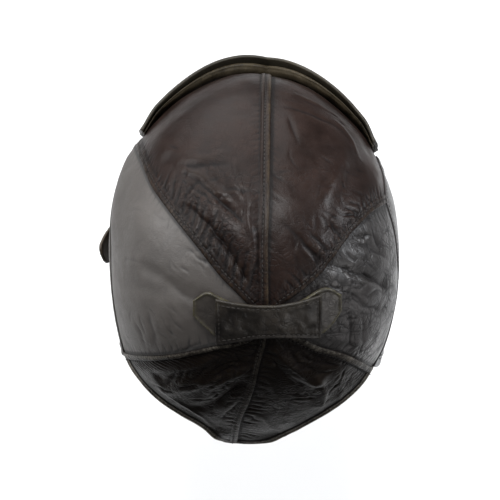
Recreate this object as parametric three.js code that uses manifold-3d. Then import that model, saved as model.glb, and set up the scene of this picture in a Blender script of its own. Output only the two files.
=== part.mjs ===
// Leather flying helmet, millimetres, +Z up.
// The origin is the inner top of the crown, the front is -Y and the wearer's left is +X.
// Six sewn panels meet at a hub on the back of the crown, two ear flaps hang below them,
// and a chin strap runs from the right flap to the buckle on the left one.

import * as THREE from 'three';
import { mergeVertices } from 'three/addons/utils/BufferGeometryUtils.js';
import Module from 'manifold-3d';

const wasm = await Module();
wasm.setup();

// Crown form
const crownHalfWidth = 85.5;
const frontReach = 99;
const backReach = 96;
const crownRise = 104;
const crownDrop = 150;
const fullness = 2.3;
const frontPlanFullness = 2.0;
const backPlanFullness = 2.65;
const frontTaper = 0.22;
const frontTaperPower = 3;

// Leather and seams
const leather = 2.0;
const seamGap = 0.5;
const flapGap = 1.0;
const pieceGap = 0.35;
const lapWidth = 4.6;
const lapRise = 0.9;
const hemWidth = 7.0;
const hemRise = 0.8;
const seamSink = 0.8;
const seamSinkReach = 9.0;
const foldHeight = 1.8;
const hubClearance = 3.0;
const edgeTop = 0.8;
const edgeFoot = 1.2;
const edgeLimit = 0.45;
const edgeSpread = 0.1;

// Counts and steps for reading lines and slopes
const lineSamples = 160;
const seamSamples = 24;
const foldSamples = 8;
const slopeStep = 1e-4;
const browStep = 0.01;
const flapStep = 0.02;

// Ear flaps
const flapFlare = 2.5;

// Brow band and its padded roll
const bandHeightCentre = 19.5;
const bandHeightEnd = 13.0;
const bandBelow = 3.0;
const bandLiftCentre = 9.0;
const bandLiftEnd = 3.9;
const bandBow = 1.0;
const browPeak = 2.6;
const rollDepthCentre = 5.8;
const rollDepthEnd = 1.5;
const rollHeight = 8.0;
const rollSet = 2.4;
const bandEdge = 1.0;
const bandTip = 0.3;
const browStations = 32;
const rollSides = 10;

// Tab over the seam hub
const tabHalfLength = 29.0;
const tabHalfHeight = 14.5;
const baseHalfLength = 42.5;
const baseHalfHeight = 18.0;
const tabThickness = 2.2;
const baseThickness = 1.4;

// Chin strap
const strapWidth = 16.0;
const strapHoleRadius = 1.9;
const strapHolePitch = 12.0;
const strapHoles = [-2, -1, 0, 1];
const strapStand = 0.7;
const chinInside = { fore: 0.45, up: -0.35 };
const stepsPerKnot = 3;
const strapTip = [
  { at: 0.985, share: 0.94 },
  { at: 0.994, share: 0.76 },
  { at: 1.000, share: 0.40 },
];

// Buckle
const buckleAcross = 0.13;
const buckleDown = 0.66;
const buckleAngle = 15;
const buckleKnots = [-1, -0.5, 0, 0.5, 1];
const wireRadius = 1.2;
const wireSides = 10;
const cornerSteps = 3;
const buckleHalfLength = 7.0;
const buckleSideClearance = 0.8;
const buckleCorner = 2.5;
const prongRadius = 0.8;
const prongSlotHalf = 1.8;
const prongPast = 2.2;
const prongSides = 6;
const prongSteps = 14;
const tabPly = 1.4;
const tabWidth = 14.0;
const tabTail = 37.0;
const tabSeat = 26.0;
const keeperStart = 20.0;
const keeperWidth = 6.0;
const keeperPly = 1.4;

const centre = new THREE.Vector3(0, 0, leather - crownRise);

// Rows of the lower line, as shares of the half width, the reaches, and the rise or drop
const rimRows = [
  { at: 'cornerRight', side: -0.80, fore: -0.74, up: -0.13 },
  { at: 'behindEarRight', side: -0.95, fore: -0.54, up: -0.10 },
  { at: 'earRight', side: -0.97, fore: -0.36, up: 0.20 },
  { at: 'earTopRight', side: -0.93, fore: -0.16, up: 0.42 },
  { at: 'seamEndRight', side: -0.87, fore: -0.03, up: 0.56 },
  { at: 'overEarRight', side: -0.88, fore: 0.17, up: 0.53 },
  { at: 'templeRight', side: -0.86, fore: 0.34, up: 0.50 },
  { at: 'browSideRight', side: -0.72, fore: 0.58, up: 0.52 },
  { at: 'browQuarterRight', side: -0.46, fore: 0.77, up: 0.53 },
  { at: 'browCentre', side: -0.13, fore: 0.95, up: 0.34 },
  { at: 'browQuarterLeft', side: 0.27, fore: 0.84, up: 0.47 },
  { at: 'browSideLeft', side: 0.56, fore: 0.70, up: 0.52 },
  { at: 'templeLeft', side: 0.80, fore: 0.48, up: 0.48 },
  { at: 'overEarLeft', side: 0.87, fore: 0.36, up: 0.41 },
  { at: 'earTopLeft', side: 0.95, fore: 0.06, up: 0.27 },
  { at: 'earLeft', side: 0.98, fore: -0.24, up: 0.06 },
  { at: 'behindEarLeft', side: 0.95, fore: -0.44, up: -0.12 },
  { at: 'cornerLeft', side: 0.91, fore: -0.52, up: -0.22 },
];

const napeRows = [
  { at: 'cornerRight', side: -0.80, fore: -0.74, up: -0.13 },
  { at: 'napeOuterRight', side: -0.67, fore: -0.84, up: -0.18 },
  { at: 'napeMidRight', side: -0.54, fore: -0.90, up: -0.24 },
  { at: 'napeInnerRight', side: -0.40, fore: -0.93, up: -0.33 },
  { at: 'napeLowRight', side: -0.20, fore: -0.91, up: -0.50 },
  { at: 'tip', side: 0.13, fore: -0.86, up: -0.63 },
  { at: 'napeInnerLeft', side: 0.28, fore: -0.91, up: -0.46 },
  { at: 'napeMidLeft', side: 0.45, fore: -0.92, up: -0.32 },
  { at: 'napeOuterLeft', side: 0.62, fore: -0.86, up: -0.25 },
  { at: 'napeSideLeft', side: 0.78, fore: -0.73, up: -0.21 },
  { at: 'cornerLeft', side: 0.91, fore: -0.52, up: -0.22 },
];

// Rows of the six seams, from the hub outwards
const hubRow = { side: -0.01, fore: -0.84, up: 0.61 };
const centreRows = [
  hubRow,
  { side: -0.01, fore: -0.77, up: 0.71 },
  { side: -0.01, fore: -0.55, up: 0.88 },
  { side: -0.03, fore: -0.28, up: 0.98 },
  { side: -0.05, fore: 0.04, up: 1 },
  { side: -0.08, fore: 0.42, up: 0.94 },
  { side: -0.12, fore: 0.80, up: 0.66 },
  { side: -0.13, fore: 0.95, up: 0.34 },
];
const diagonalLeftRows = [
  hubRow,
  { side: 0.12, fore: -0.76, up: 0.71 },
  { side: 0.26, fore: -0.66, up: 0.79 },
  { side: 0.42, fore: -0.49, up: 0.86 },
  { side: 0.58, fore: -0.26, up: 0.85 },
  { side: 0.69, fore: -0.04, up: 0.78 },
  { side: 0.76, fore: 0.19, up: 0.69 },
  { side: 0.80, fore: 0.48, up: 0.48 },
];
const diagonalRightRows = [
  hubRow,
  { side: -0.09, fore: -0.79, up: 0.68 },
  { side: -0.24, fore: -0.72, up: 0.74 },
  { side: -0.39, fore: -0.62, up: 0.79 },
  { side: -0.52, fore: -0.47, up: 0.82 },
  { side: -0.70, fore: -0.25, up: 0.76 },
  { side: -0.87, fore: -0.03, up: 0.56 },
];
const lateralLeftRows = [
  hubRow,
  { side: 0.14, fore: -0.91, up: 0.49 },
  { side: 0.33, fore: -0.91, up: 0.43 },
  { side: 0.54, fore: -0.88, up: 0.31 },
  { side: 0.76, fore: -0.77, up: 0.09 },
  { side: 0.87, fore: -0.62, up: -0.11 },
  { side: 0.91, fore: -0.52, up: -0.22 },
];
const lateralRightRows = [
  hubRow,
  { side: -0.18, fore: -0.89, up: 0.53 },
  { side: -0.37, fore: -0.91, up: 0.40 },
  { side: -0.47, fore: -0.91, up: 0.34 },
  { side: -0.59, fore: -0.88, up: 0.22 },
  { side: -0.80, fore: -0.74, up: -0.13 },
];
const backRows = [
  hubRow,
  { side: -0.01, fore: -0.89, up: 0.52 },
  { side: 0.03, fore: -0.97, up: 0.30 },
  { side: 0.05, fore: -1.00, up: 0.13 },
  { side: 0.08, fore: -1.00, up: -0.06 },
  { side: 0.12, fore: -0.98, up: -0.23 },
  { side: 0.13, fore: -0.86, up: -0.63 },
];

// Free edges of the ear flaps, front, bottom and rear
const flapRows = {
  left: {
    front: [
      { side: 0.80, fore: 0.48, up: 0.48 },
      { side: 0.86, fore: 0.52, up: 0.15 },
      { side: 0.87, fore: 0.55, up: -0.20 },
      { side: 0.80, fore: 0.57, up: -0.48 },
      { side: 0.74, fore: 0.48, up: -0.65 },
    ],
    bottom: [
      { side: 0.74, fore: 0.48, up: -0.65 },
      { side: 0.74, fore: 0.30, up: -0.70 },
      { side: 0.76, fore: 0.12, up: -0.67 },
    ],
    rear: [
      { side: 0.91, fore: -0.52, up: -0.22 },
      { side: 0.88, fore: -0.36, up: -0.42 },
      { side: 0.82, fore: -0.10, up: -0.60 },
      { side: 0.76, fore: 0.12, up: -0.67 },
    ],
  },
  right: {
    front: [
      { side: -0.86, fore: 0.34, up: 0.50 },
      { side: -0.89, fore: 0.46, up: 0.16 },
      { side: -0.87, fore: 0.54, up: -0.20 },
      { side: -0.80, fore: 0.57, up: -0.48 },
      { side: -0.74, fore: 0.48, up: -0.65 },
    ],
    bottom: [
      { side: -0.74, fore: 0.48, up: -0.65 },
      { side: -0.74, fore: 0.30, up: -0.70 },
      { side: -0.76, fore: 0.12, up: -0.67 },
    ],
    rear: [
      { side: -0.80, fore: -0.74, up: -0.13 },
      { side: -0.87, fore: -0.44, up: -0.40 },
      { side: -0.82, fore: -0.12, up: -0.60 },
      { side: -0.76, fore: 0.12, up: -0.67 },
    ],
  },
};

// Soft folds and dents: a line through three places, half its width as a share of the
// crown's half width, and its height as a share of foldHeight
const folds = [
  { from: [0.86, 0.34, 0.47], by: [0.90, 0.20, 0.44], to: [0.94, 0.00, 0.38], wide: 0.16, high: 1.1 },
  { from: [-0.76, 0.24, 0.68], by: [-0.59, -0.11, 0.86], to: [-0.43, -0.43, 0.87], wide: 0.10, high: -1.0 },
  { from: [-0.56, 0.01, 0.88], by: [-0.44, -0.29, 0.91], to: [-0.35, -0.54, 0.85], wide: 0.06, high: 0.5 },
  { from: [0.49, -0.29, 0.89], by: [0.24, -0.51, 0.89], to: [0.08, -0.70, 0.78], wide: 0.05, high: -0.7 },
  { from: [0.59, 0.08, 0.86], by: [0.29, -0.20, 0.96], to: [0.11, -0.36, 0.95], wide: 0.07, high: -0.6 },
  { from: [0.08, -0.31, 0.97], by: [0.08, -0.47, 0.92], to: [0.09, -0.60, 0.85], wide: 0.05, high: 0.5 },
  { from: [-0.44, -0.60, 0.79], by: [-0.56, -0.61, 0.72], to: [-0.80, -0.56, 0.50], wide: 0.05, high: -0.9 },
  { from: [-0.58, -0.40, 0.81], by: [-0.65, -0.41, 0.76], to: [-0.78, -0.39, 0.64], wide: 0.05, high: -0.6 },
  { from: [-0.55, -0.74, 0.59], by: [-0.56, -0.81, 0.48], to: [-0.57, -0.86, 0.34], wide: 0.05, high: -0.6 },
  { from: [0.76, -0.49, 0.62], by: [0.65, -0.58, 0.67], to: [0.50, -0.69, 0.68], wide: 0.06, high: -0.6 },
  { from: [0.67, -0.85, -0.02], by: [0.47, -0.94, 0.17], to: [0.16, -0.96, 0.34], wide: 0.05, high: -0.8 },
  { from: [0.63, -0.87, -0.10], by: [0.44, -0.96, 0.07], to: [0.14, -0.98, 0.26], wide: 0.05, high: 0.6 },
  { from: [0.40, -0.96, -0.15], by: [0.27, -0.99, -0.04], to: [0.14, -0.99, 0.12], wide: 0.05, high: -0.7 },
  { from: [-0.06, -0.92, 0.46], by: [-0.20, -0.97, 0.29], to: [-0.36, -0.97, 0.12], wide: 0.06, high: 0.8 },
  { from: [-0.36, -0.97, 0.12], by: [-0.42, -0.96, 0.00], to: [-0.41, -0.96, -0.14], wide: 0.06, high: 0.8 },  { from: [0.28, -0.91, -0.46], by: [0.13, -0.87, -0.61], to: [-0.10, -0.90, -0.54], wide: 0.12, high: 1.5 },
];

// Upper and lower edges of the hub patch and the tab, a row per place across, as shares
// of the half length and half height, left end first
const baseOutline = [
  { across: 1.00, top: 0.58, bottom: 0.16 },
  { across: 0.90, top: 0.86, bottom: -0.12 },
  { across: 0.78, top: 1.00, bottom: -0.34 },
  { across: 0.66, top: 0.80, bottom: -0.70 },
  { across: 0.35, top: 0.48, bottom: -0.55 },
  { across: -0.05, top: 0.44, bottom: -0.48 },
  { across: -0.40, top: 0.58, bottom: -0.55 },
  { across: -0.66, top: 0.96, bottom: -0.68 },
  { across: -0.80, top: 1.00, bottom: -0.48 },
  { across: -0.92, top: 0.84, bottom: -0.16 },
  { across: -1.00, top: 0.62, bottom: 0.20 },
];
const tabOutline = [
  { across: 1.00, top: 0.94, bottom: -1.02 },
  { across: 0.62, top: 0.80, bottom: -0.86 },
  { across: 0.25, top: 0.68, bottom: -0.70 },
  { across: -0.15, top: 0.66, bottom: -0.68 },
  { across: -0.55, top: 0.78, bottom: -0.74 },
  { across: -1.00, top: 1.00, bottom: -0.88 },
];
const tabCentreRow = { side: -0.03, fore: -0.83, up: 0.62 };

// Free stretch of the chin strap under the jaw, as shares of the half width, the front
// reach and the drop, measured from the crown's centre
const chinRows = [
  { side: -0.84, fore: 0.85, up: -0.52 },
  { side: -0.77, fore: 0.93, up: -0.61 },
  { side: -0.58, fore: 0.97, up: -0.73 },
  { side: -0.30, fore: 0.95, up: -0.83 },
  { side: 0.00, fore: 0.93, up: -0.87 },
  { side: 0.30, fore: 0.95, up: -0.83 },
  { side: 0.58, fore: 0.97, up: -0.72 },
  { side: 0.77, fore: 0.93, up: -0.58 },
];

// Sewn end of the strap on the right flap, as shares across and down the flap
const sewnRows = [
  { across: 0.42, down: 0.61 },
  { across: 0.32, down: 0.64 },
  { across: 0.22, down: 0.67 },
  { across: 0.12, down: 0.70 },
  { across: 0.03, down: 0.73 },
];

// Free end of the strap past the keeper: along the strap and out from the flap in strap
// widths, and the turn of its face upwards in degrees
const freeEndRows = [
  { along: 2.05, out: 0.02, turn: 9 },
  { along: 2.45, out: 0.00, turn: 13 },
  { along: 2.90, out: -0.08, turn: 16 },
  { along: 3.38, out: -0.20, turn: 18 },
];

const materials = {
  front: new THREE.MeshStandardMaterial({ color: 0x2f2320, roughness: 0.5, metalness: 0 }),
  side: new THREE.MeshStandardMaterial({ color: 0x35312f, roughness: 0.45, metalness: 0 }),
  back: new THREE.MeshStandardMaterial({ color: 0x1e1714, roughness: 0.5, metalness: 0 }),
  worn: new THREE.MeshStandardMaterial({ color: 0x4a3f2a, roughness: 0.65, metalness: 0 }),
  strap: new THREE.MeshStandardMaterial({ color: 0x241b16, roughness: 0.55, metalness: 0 }),
  brass: new THREE.MeshStandardMaterial({ color: 0x8c7a4a, roughness: 0.4, metalness: 1 }),
};

const helmet = new THREE.Group();

// Form: a rounded box of shares, with value 1 on its surface
function formValue(v) {
  const reach = v.y < 0 ? frontReach : backReach;
  const plan = v.y < 0 ? frontPlanFullness : backPlanFullness;
  const height = v.z > 0 ? crownRise : crownDrop;
  const fore = Math.max(-v.y, 0) / frontReach / Math.hypot(v.x / crownHalfWidth, v.y / reach, v.z / height);
  const halfWidth = crownHalfWidth * (1 - frontTaper * fore ** frontTaperPower);
  const level = (Math.abs(v.x / halfWidth) ** plan + Math.abs(v.y / reach) ** plan) ** (1 / plan);
  return (level ** fullness + Math.abs(v.z / height) ** fullness) ** (1 / fullness);
}

function toward({ side, fore, up }) {
  return new THREE.Vector3(
    side * crownHalfWidth,
    -fore * (fore > 0 ? frontReach : backReach),
    up * (up > 0 ? crownRise : crownDrop),
  ).normalize();
}

function onForm(direction) {
  return direction.clone().divideScalar(formValue(direction)).add(centre);
}

function formNormal(direction) {
  const slope = (axis) => {
    const ahead = direction.clone();
    const behind = direction.clone();
    ahead[axis] += slopeStep;
    behind[axis] -= slopeStep;
    return formValue(ahead) - formValue(behind);
  };
  return new THREE.Vector3(slope('x'), slope('y'), slope('z')).normalize();
}

function skin(direction, offset) {
  return onForm(direction).addScaledVector(formNormal(direction), offset);
}

// A line on the form through share rows, read by length between two of its rows
class FormLine {
  constructor(rows) {
    this.rows = rows;
    const points = rows.map((row) => onForm(toward(row)).sub(centre));
    this.curve = new THREE.CatmullRomCurve3(points, false, 'centripetal');
  }

  indexOf(name) {
    return this.rows.findIndex((row) => row.at === name);
  }

  between(first = 0, last = this.rows.length - 1) {
    const start = typeof first === 'string' ? this.indexOf(first) : first;
    const end = typeof last === 'string' ? this.indexOf(last) : last;
    const marks = [0];
    const points = [];
    for (let i = 0; i <= lineSamples; i += 1) {
      const t = (start + (end - start) * (i / lineSamples)) / (this.rows.length - 1);
      points.push(this.curve.getPoint(t));
      if (i > 0) marks.push(marks[i - 1] + points[i].distanceTo(points[i - 1]));
    }
    const length = marks[lineSamples];
    const at = (share) => {
      const goal = THREE.MathUtils.clamp(share, 0, 1) * length;
      let i = 1;
      while (i < lineSamples && marks[i] < goal) i += 1;
      const part = (goal - marks[i - 1]) / (marks[i] - marks[i - 1]);
      return points[i - 1].clone().lerp(points[i], part);
    };
    return { at, length };
  }
}

const rim = new FormLine(rimRows);
const nape = new FormLine(napeRows);
const seams = {
  centre: new FormLine(centreRows).between(),
  diagonalLeft: new FormLine(diagonalLeftRows).between(),
  diagonalRight: new FormLine(diagonalRightRows).between(),
  lateralLeft: new FormLine(lateralLeftRows).between(),
  lateralRight: new FormLine(lateralRightRows).between(),
  back: new FormLine(backRows).between(),
};
const flapSeams = [rim.between('templeLeft', 'cornerLeft'), rim.between('templeRight', 'cornerRight')];

// Surface relief: sunk seams and the table of folds
function samples(line, count) {
  return Array.from({ length: count + 1 }, (_, i) => line.at(i / count));
}

function distanceToPath(point, path) {
  const segment = new THREE.Line3();
  const nearest = new THREE.Vector3();
  let best = Infinity;
  for (let i = 1; i < path.length; i += 1) {
    segment.set(path[i - 1], path[i]);
    segment.closestPointToPoint(point, true, nearest);
    best = Math.min(best, nearest.distanceTo(point));
  }
  return best;
}

const seamPaths = [...Object.values(seams), ...flapSeams].map((line) => samples(line, seamSamples));
const foldPaths = folds.map((fold) => {
  const rows = [fold.from, fold.by, fold.to].map(([side, fore, up]) => ({ side, fore, up }));
  return { path: samples(new FormLine(rows).between(), foldSamples), fold };
});

function relief(direction) {
  const point = onForm(direction).sub(centre);
  let height = 0;
  for (const path of seamPaths) {
    const share = distanceToPath(point, path) / seamSinkReach;
    height = Math.min(height, -seamSink * Math.exp(-share * share));
  }
  for (const { path, fold } of foldPaths) {
    const share = distanceToPath(point, path) / (fold.wide * crownHalfWidth);
    height += fold.high * foldHeight * Math.exp(-share * share);
  }
  return height;
}

// Closed solids from grids and rings of points
function solidGeometry(points, triangles) {
  const geometry = new THREE.BufferGeometry();
  geometry.setAttribute('position', new THREE.Float32BufferAttribute(points.flatMap((p) => [p.x, p.y, p.z]), 3));
  const corners = triangles.map(([a, b, c]) => [points[a], points[b], points[c]]);
  const volume = corners.reduce((sum, [a, b, c]) => sum + a.dot(b.clone().cross(c)), 0);
  const turned = volume < 0 ? triangles.map(([a, b, c]) => [a, c, b]) : triangles;
  geometry.setIndex(turned.flat());
  geometry.computeVertexNormals();
  return geometry;
}

function sheetSolid(outer, inner) {
  const rows = outer.length;
  const columns = outer[0].length;
  const points = [...outer.flat(), ...inner.flat()];
  const shift = rows * columns;
  const triangles = [];
  const quad = (a, b, c, d) => triangles.push([a, b, c], [a, c, d]);
  for (let i = 0; i < rows - 1; i += 1) {
    for (let j = 0; j < columns - 1; j += 1) {
      const a = i * columns + j;
      quad(a, a + 1, a + columns + 1, a + columns);
      quad(shift + a, shift + a + columns, shift + a + columns + 1, shift + a + 1);
    }
  }
  const border = [];
  for (let j = 0; j < columns - 1; j += 1) border.push(j);
  for (let i = 0; i < rows - 1; i += 1) border.push(i * columns + columns - 1);
  for (let j = columns - 1; j > 0; j -= 1) border.push((rows - 1) * columns + j);
  for (let i = rows - 1; i > 0; i -= 1) border.push(i * columns);
  border.forEach((a, k) => {
    const b = border[(k + 1) % border.length];
    quad(b, a, shift + a, shift + b);
  });
  return solidGeometry(points, triangles);
}

function sweptSolid(rings) {
  const sides = rings[0].length;
  const points = rings.flat();
  const triangles = [];
  for (let i = 0; i < rings.length - 1; i += 1) {
    for (let j = 0; j < sides; j += 1) {
      const a = i * sides + j;
      const b = i * sides + ((j + 1) % sides);
      triangles.push([a, b, b + sides], [a, b + sides, a + sides]);
    }
  }
  const cap = (first, flipped) => {
    const middle = new THREE.Vector3();
    for (let j = 0; j < sides; j += 1) middle.add(points[first + j]);
    points.push(middle.divideScalar(sides));
    for (let j = 0; j < sides; j += 1) {
      const pair = [first + j, first + ((j + 1) % sides)];
      triangles.push(flipped ? [pair[1], pair[0], points.length - 1] : [pair[0], pair[1], points.length - 1]);
    }
  };
  cap(0, true);
  cap((rings.length - 1) * sides, false);
  return solidGeometry(points, triangles);
}

function loopedSolid(rings) {
  const sides = rings[0].length;
  const points = rings.flat();
  const triangles = [];
  for (let i = 0; i < rings.length; i += 1) {
    const next = ((i + 1) % rings.length) * sides;
    for (let j = 0; j < sides; j += 1) {
      const k = (j + 1) % sides;
      triangles.push([i * sides + j, i * sides + k, next + k], [i * sides + j, next + k, next + j]);
    }
  }
  return solidGeometry(points, triangles);
}

function toManifold(geometry) {
  const bare = geometry.clone();
  bare.deleteAttribute('normal');
  bare.deleteAttribute('uv');
  const merged = mergeVertices(bare, 1e-4);
  const vertProperties = new Float32Array(merged.attributes.position.array);
  const triVerts = new Uint32Array(merged.index.array);
  return new wasm.Manifold(new wasm.Mesh({ numProp: 3, vertProperties, triVerts }));
}

function fromManifold(solid) {
  const mesh = solid.getMesh();
  const geometry = new THREE.BufferGeometry();
  geometry.setAttribute('position', new THREE.Float32BufferAttribute(mesh.vertProperties, 3));
  geometry.setIndex(Array.from(mesh.triVerts));
  geometry.computeVertexNormals();
  return geometry;
}

function addPiece(name, geometry, material) {
  const mesh = new THREE.Mesh(geometry, material);
  mesh.name = name;
  helmet.add(mesh);
}

// Places across a strip: the edge, both sides of its lap or hem, then even steps
function edgedPlaces(width, steps, nearBand, farBand, nearGap = seamGap, farGap = seamGap) {
  const sharesFor = (gap, band) => {
    const marks = band ? [gap / 2, band - edgeTop, band + edgeFoot] : [gap / 2];
    return marks.map((d, i) => Math.min(d / width, edgeLimit - (marks.length - 1 - i) * edgeSpread));
  };
  const near = sharesFor(nearGap, nearBand);
  const far = sharesFor(farGap, farBand).map((share) => 1 - share);
  const from = near[near.length - 1];
  const to = far[far.length - 1];
  const middle = Array.from({ length: steps - 1 }, (_, i) => from + ((to - from) * (i + 1)) / steps);
  return [...near, ...middle, ...far.reverse()];
}

function raisedBand(distance, width, rise) {
  return rise * (1 - THREE.MathUtils.smoothstep(distance, width - edgeTop, width + edgeFoot));
}

// A crown panel between two seams that leave the hub, closed by a piece of the lower line
function addPanel({ name, near, far, edge, nearLap, farLap, hem, rows, columns, material }) {
  const corners = [edge.at(0), edge.at(1)];
  const hub = near.at(0);
  const place = (u, v) => near.at(v).multiplyScalar(1 - u)
    .addScaledVector(far.at(v), u)
    .addScaledVector(edge.at(u), v)
    .addScaledVector(corners[0], -(1 - u) * v)
    .addScaledVector(corners[1], -u * v);
  const length = (near.length + far.length) / 2;
  const start = hubClearance / length;
  const farGap = hem ? seamGap : flapGap;
  const places = edgedPlaces(length, rows, 0, hem ? hemWidth : 0, seamGap, farGap);
  const vs = places.map((v) => Math.max(v, start));
  const outer = [];
  const inner = [];
  for (const v of vs) {
    const width = near.at(v).distanceTo(far.at(v));
    const us = edgedPlaces(width, columns, lapWidth, lapWidth);
    const outerRow = [];
    const innerRow = [];
    for (const u of us) {
      const direction = place(u, v).normalize();
      const body = relief(direction);
      const nearRise = nearLap ? raisedBand(u * width, lapWidth, lapRise) : 0;
      const farRise = farLap ? raisedBand((1 - u) * width, lapWidth, lapRise) : 0;
      const hemLift = hem ? raisedBand((1 - v) * length, hemWidth, hemRise) : 0;
      outerRow.push(skin(direction, body + Math.max(nearRise, farRise, hemLift)));
      innerRow.push(skin(direction, body - leather));
    }
    outer.push(outerRow);
    inner.push(innerRow);
  }
  addPiece(name, sheetSolid(outer, inner), material);
}

addPanel({
  name: 'front_panel_left', near: seams.centre, far: seams.diagonalLeft,
  edge: rim.between('browCentre', 'templeLeft'), nearLap: true, farLap: true, hem: false,
  rows: 18, columns: 8, material: materials.front,
});
addPanel({
  name: 'front_panel_right', near: seams.centre, far: seams.diagonalRight,
  edge: rim.between('browCentre', 'seamEndRight'), nearLap: false, farLap: true, hem: false,
  rows: 18, columns: 12, material: materials.front,
});
addPanel({
  name: 'side_panel_left', near: seams.diagonalLeft, far: seams.lateralLeft,
  edge: rim.between('templeLeft', 'cornerLeft'), nearLap: false, farLap: false, hem: false,
  rows: 15, columns: 9, material: materials.side,
});
addPanel({
  name: 'side_panel_right', near: seams.diagonalRight, far: seams.lateralRight,
  edge: rim.between('seamEndRight', 'cornerRight'), nearLap: false, farLap: false, hem: false,
  rows: 15, columns: 9, material: materials.side,
});
addPanel({
  name: 'back_panel_left', near: seams.back, far: seams.lateralLeft,
  edge: nape.between('tip', 'cornerLeft'), nearLap: true, farLap: true, hem: true,
  rows: 14, columns: 8, material: materials.back,
});
addPanel({
  name: 'back_panel_right', near: seams.back, far: seams.lateralRight,
  edge: nape.between('tip', 'cornerRight'), nearLap: false, farLap: true, hem: true,
  rows: 14, columns: 8, material: materials.back,
});

// An ear flap between its seam on the crown and three free edges; it flares outwards as it hangs
class Flap {
  constructor(seam, rows) {
    this.seam = seam;
    this.front = new FormLine(rows.front).between();
    this.bottom = new FormLine(rows.bottom).between();
    this.rear = new FormLine(rows.rear).between();
    this.width = (seam.length + this.bottom.length) / 2;
    this.length = (this.front.length + this.rear.length) / 2;
  }

  direction(u, v) {
    return this.seam.at(u).multiplyScalar(1 - v)
      .addScaledVector(this.bottom.at(u), v)
      .addScaledVector(this.front.at(v), 1 - u)
      .addScaledVector(this.rear.at(v), u)
      .addScaledVector(this.seam.at(0), -(1 - u) * (1 - v))
      .addScaledVector(this.seam.at(1), -u * (1 - v))
      .addScaledVector(this.bottom.at(0), -(1 - u) * v)
      .addScaledVector(this.bottom.at(1), -u * v)
      .normalize();
  }

  rise(u, v) {
    const distance = Math.min(u * this.width, (1 - u) * this.width, (1 - v) * this.length);
    return raisedBand(distance, hemWidth, hemRise);
  }

  point(u, v, offset) {
    const direction = this.direction(u, v);
    return skin(direction, relief(direction) + flapFlare * v * v + offset);
  }

  normal(u, v) {
    const across = this.point(u + flapStep, v, 0).sub(this.point(u - flapStep, v, 0));
    const down = this.point(u, v + flapStep, 0).sub(this.point(u, v - flapStep, 0));
    const normal = across.cross(down).normalize();
    return normal.dot(this.direction(u, v)) < 0 ? normal.negate() : normal;
  }

  geometry(columns, rows) {
    const us = edgedPlaces(this.width, columns, hemWidth, hemWidth);
    const vs = edgedPlaces(this.length, rows, 0, hemWidth, flapGap, seamGap);
    const layer = (offsetAt) => vs.map((v) => us.map((u) => this.point(u, v, offsetAt(u, v))));
    return sheetSolid(layer((u, v) => this.rise(u, v)), layer(() => -leather));
  }
}

const flapLeft = new Flap(rim.between('templeLeft', 'cornerLeft'), flapRows.left);
const flapRight = new Flap(rim.between('templeRight', 'cornerRight'), flapRows.right);
addPiece('ear_flap_left', flapLeft.geometry(11, 11), materials.side);
addPiece('ear_flap_right', flapRight.geometry(11, 11), materials.side);

// Brow band: a turned-up cuff that stands off the crown, with a padded roll behind its top
const browLine = rim.between('templeRight', 'templeLeft');

function browFrame(t) {
  const direction = browLine.at(t).normalize();
  const normal = formNormal(direction);
  const ahead = onForm(browLine.at(Math.min(t + browStep, 1)).normalize());
  const behind = onForm(browLine.at(Math.max(t - browStep, 0)).normalize());
  const along = ahead.sub(behind).normalize();
  const up = along.clone().cross(normal).normalize();
  if (up.z < 0) up.negate();
  return { origin: skin(direction, Math.max(relief(direction), 0)), normal, up };
}

function browSizes(t) {
  const middle = (1 - (2 * t - 1) ** 2) ** browPeak;
  const { lerp } = THREE.MathUtils;
  return {
    height: lerp(bandHeightEnd, bandHeightCentre, middle),
    lift: lerp(bandLiftEnd, bandLiftCentre, middle),
    depth: lerp(rollDepthEnd, rollDepthCentre, middle),
  };
}

function browRing(t, section) {
  const { origin, normal, up } = browFrame(t);
  return section.map(([out, high]) => origin.clone().addScaledVector(normal, out).addScaledVector(up, high));
}

const bandRings = [];
const rollRings = [];
for (let i = 0; i <= browStations; i += 1) {
  const t = i / browStations;
  const { height, lift, depth } = browSizes(t);
  const seat = pieceGap;
  const bow = (seat + lift) / 2 + bandBow;
  const waist = height / 2;
  bandRings.push(browRing(t, [
    [seat, -bandBelow],
    [seat + leather, -bandBelow],
    [bow + leather, waist],
    [lift + leather, height - bandEdge],
    [lift + leather * (1 - bandTip), height],
    [lift + leather * bandTip, height],
    [lift, height - bandEdge],
    [bow, waist],
  ]));
  const middle = height - rollSet - rollHeight / 2;
  const faceAt = (high) => (high > waist
    ? THREE.MathUtils.mapLinear(high, waist, height - bandEdge, bow, lift)
    : THREE.MathUtils.mapLinear(high, -bandBelow, waist, seat, bow));
  const rollSection = Array.from({ length: rollSides }, (_, k) => {
    const angle = (2 * k * Math.PI) / rollSides;
    const high = middle + (rollHeight / 2) * Math.sin(angle);
    return [faceAt(high) - pieceGap - (depth / 2) * (1 - Math.cos(angle)), high];
  });
  rollRings.push(browRing(t, rollSection));
}
addPiece('brow_band', sweptSolid(bandRings), materials.front);
addPiece('brow_roll', sweptSolid(rollRings), materials.worn);

// Tab over the hub: a lobed patch on the crown and a waisted strap on top of it
const hubDirection = toward(tabCentreRow);
const hubPoint = onForm(hubDirection);
const hubNormal = formNormal(hubDirection);
const hubAcross = new THREE.Vector3(1, 0, 0);
const hubUp = hubNormal.clone().cross(hubAcross).normalize();
if (hubUp.z < 0) hubUp.negate();

function outlineAt(rows, across) {
  const along = rows.findIndex((row) => row.across <= across);
  const next = rows[Math.max(along, 1)];
  const last = rows[Math.max(along, 1) - 1];
  const part = (last.across - across) / (last.across - next.across);
  const { lerp } = THREE.MathUtils;
  return { top: lerp(last.top, next.top, part), bottom: lerp(last.bottom, next.bottom, part) };
}

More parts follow.
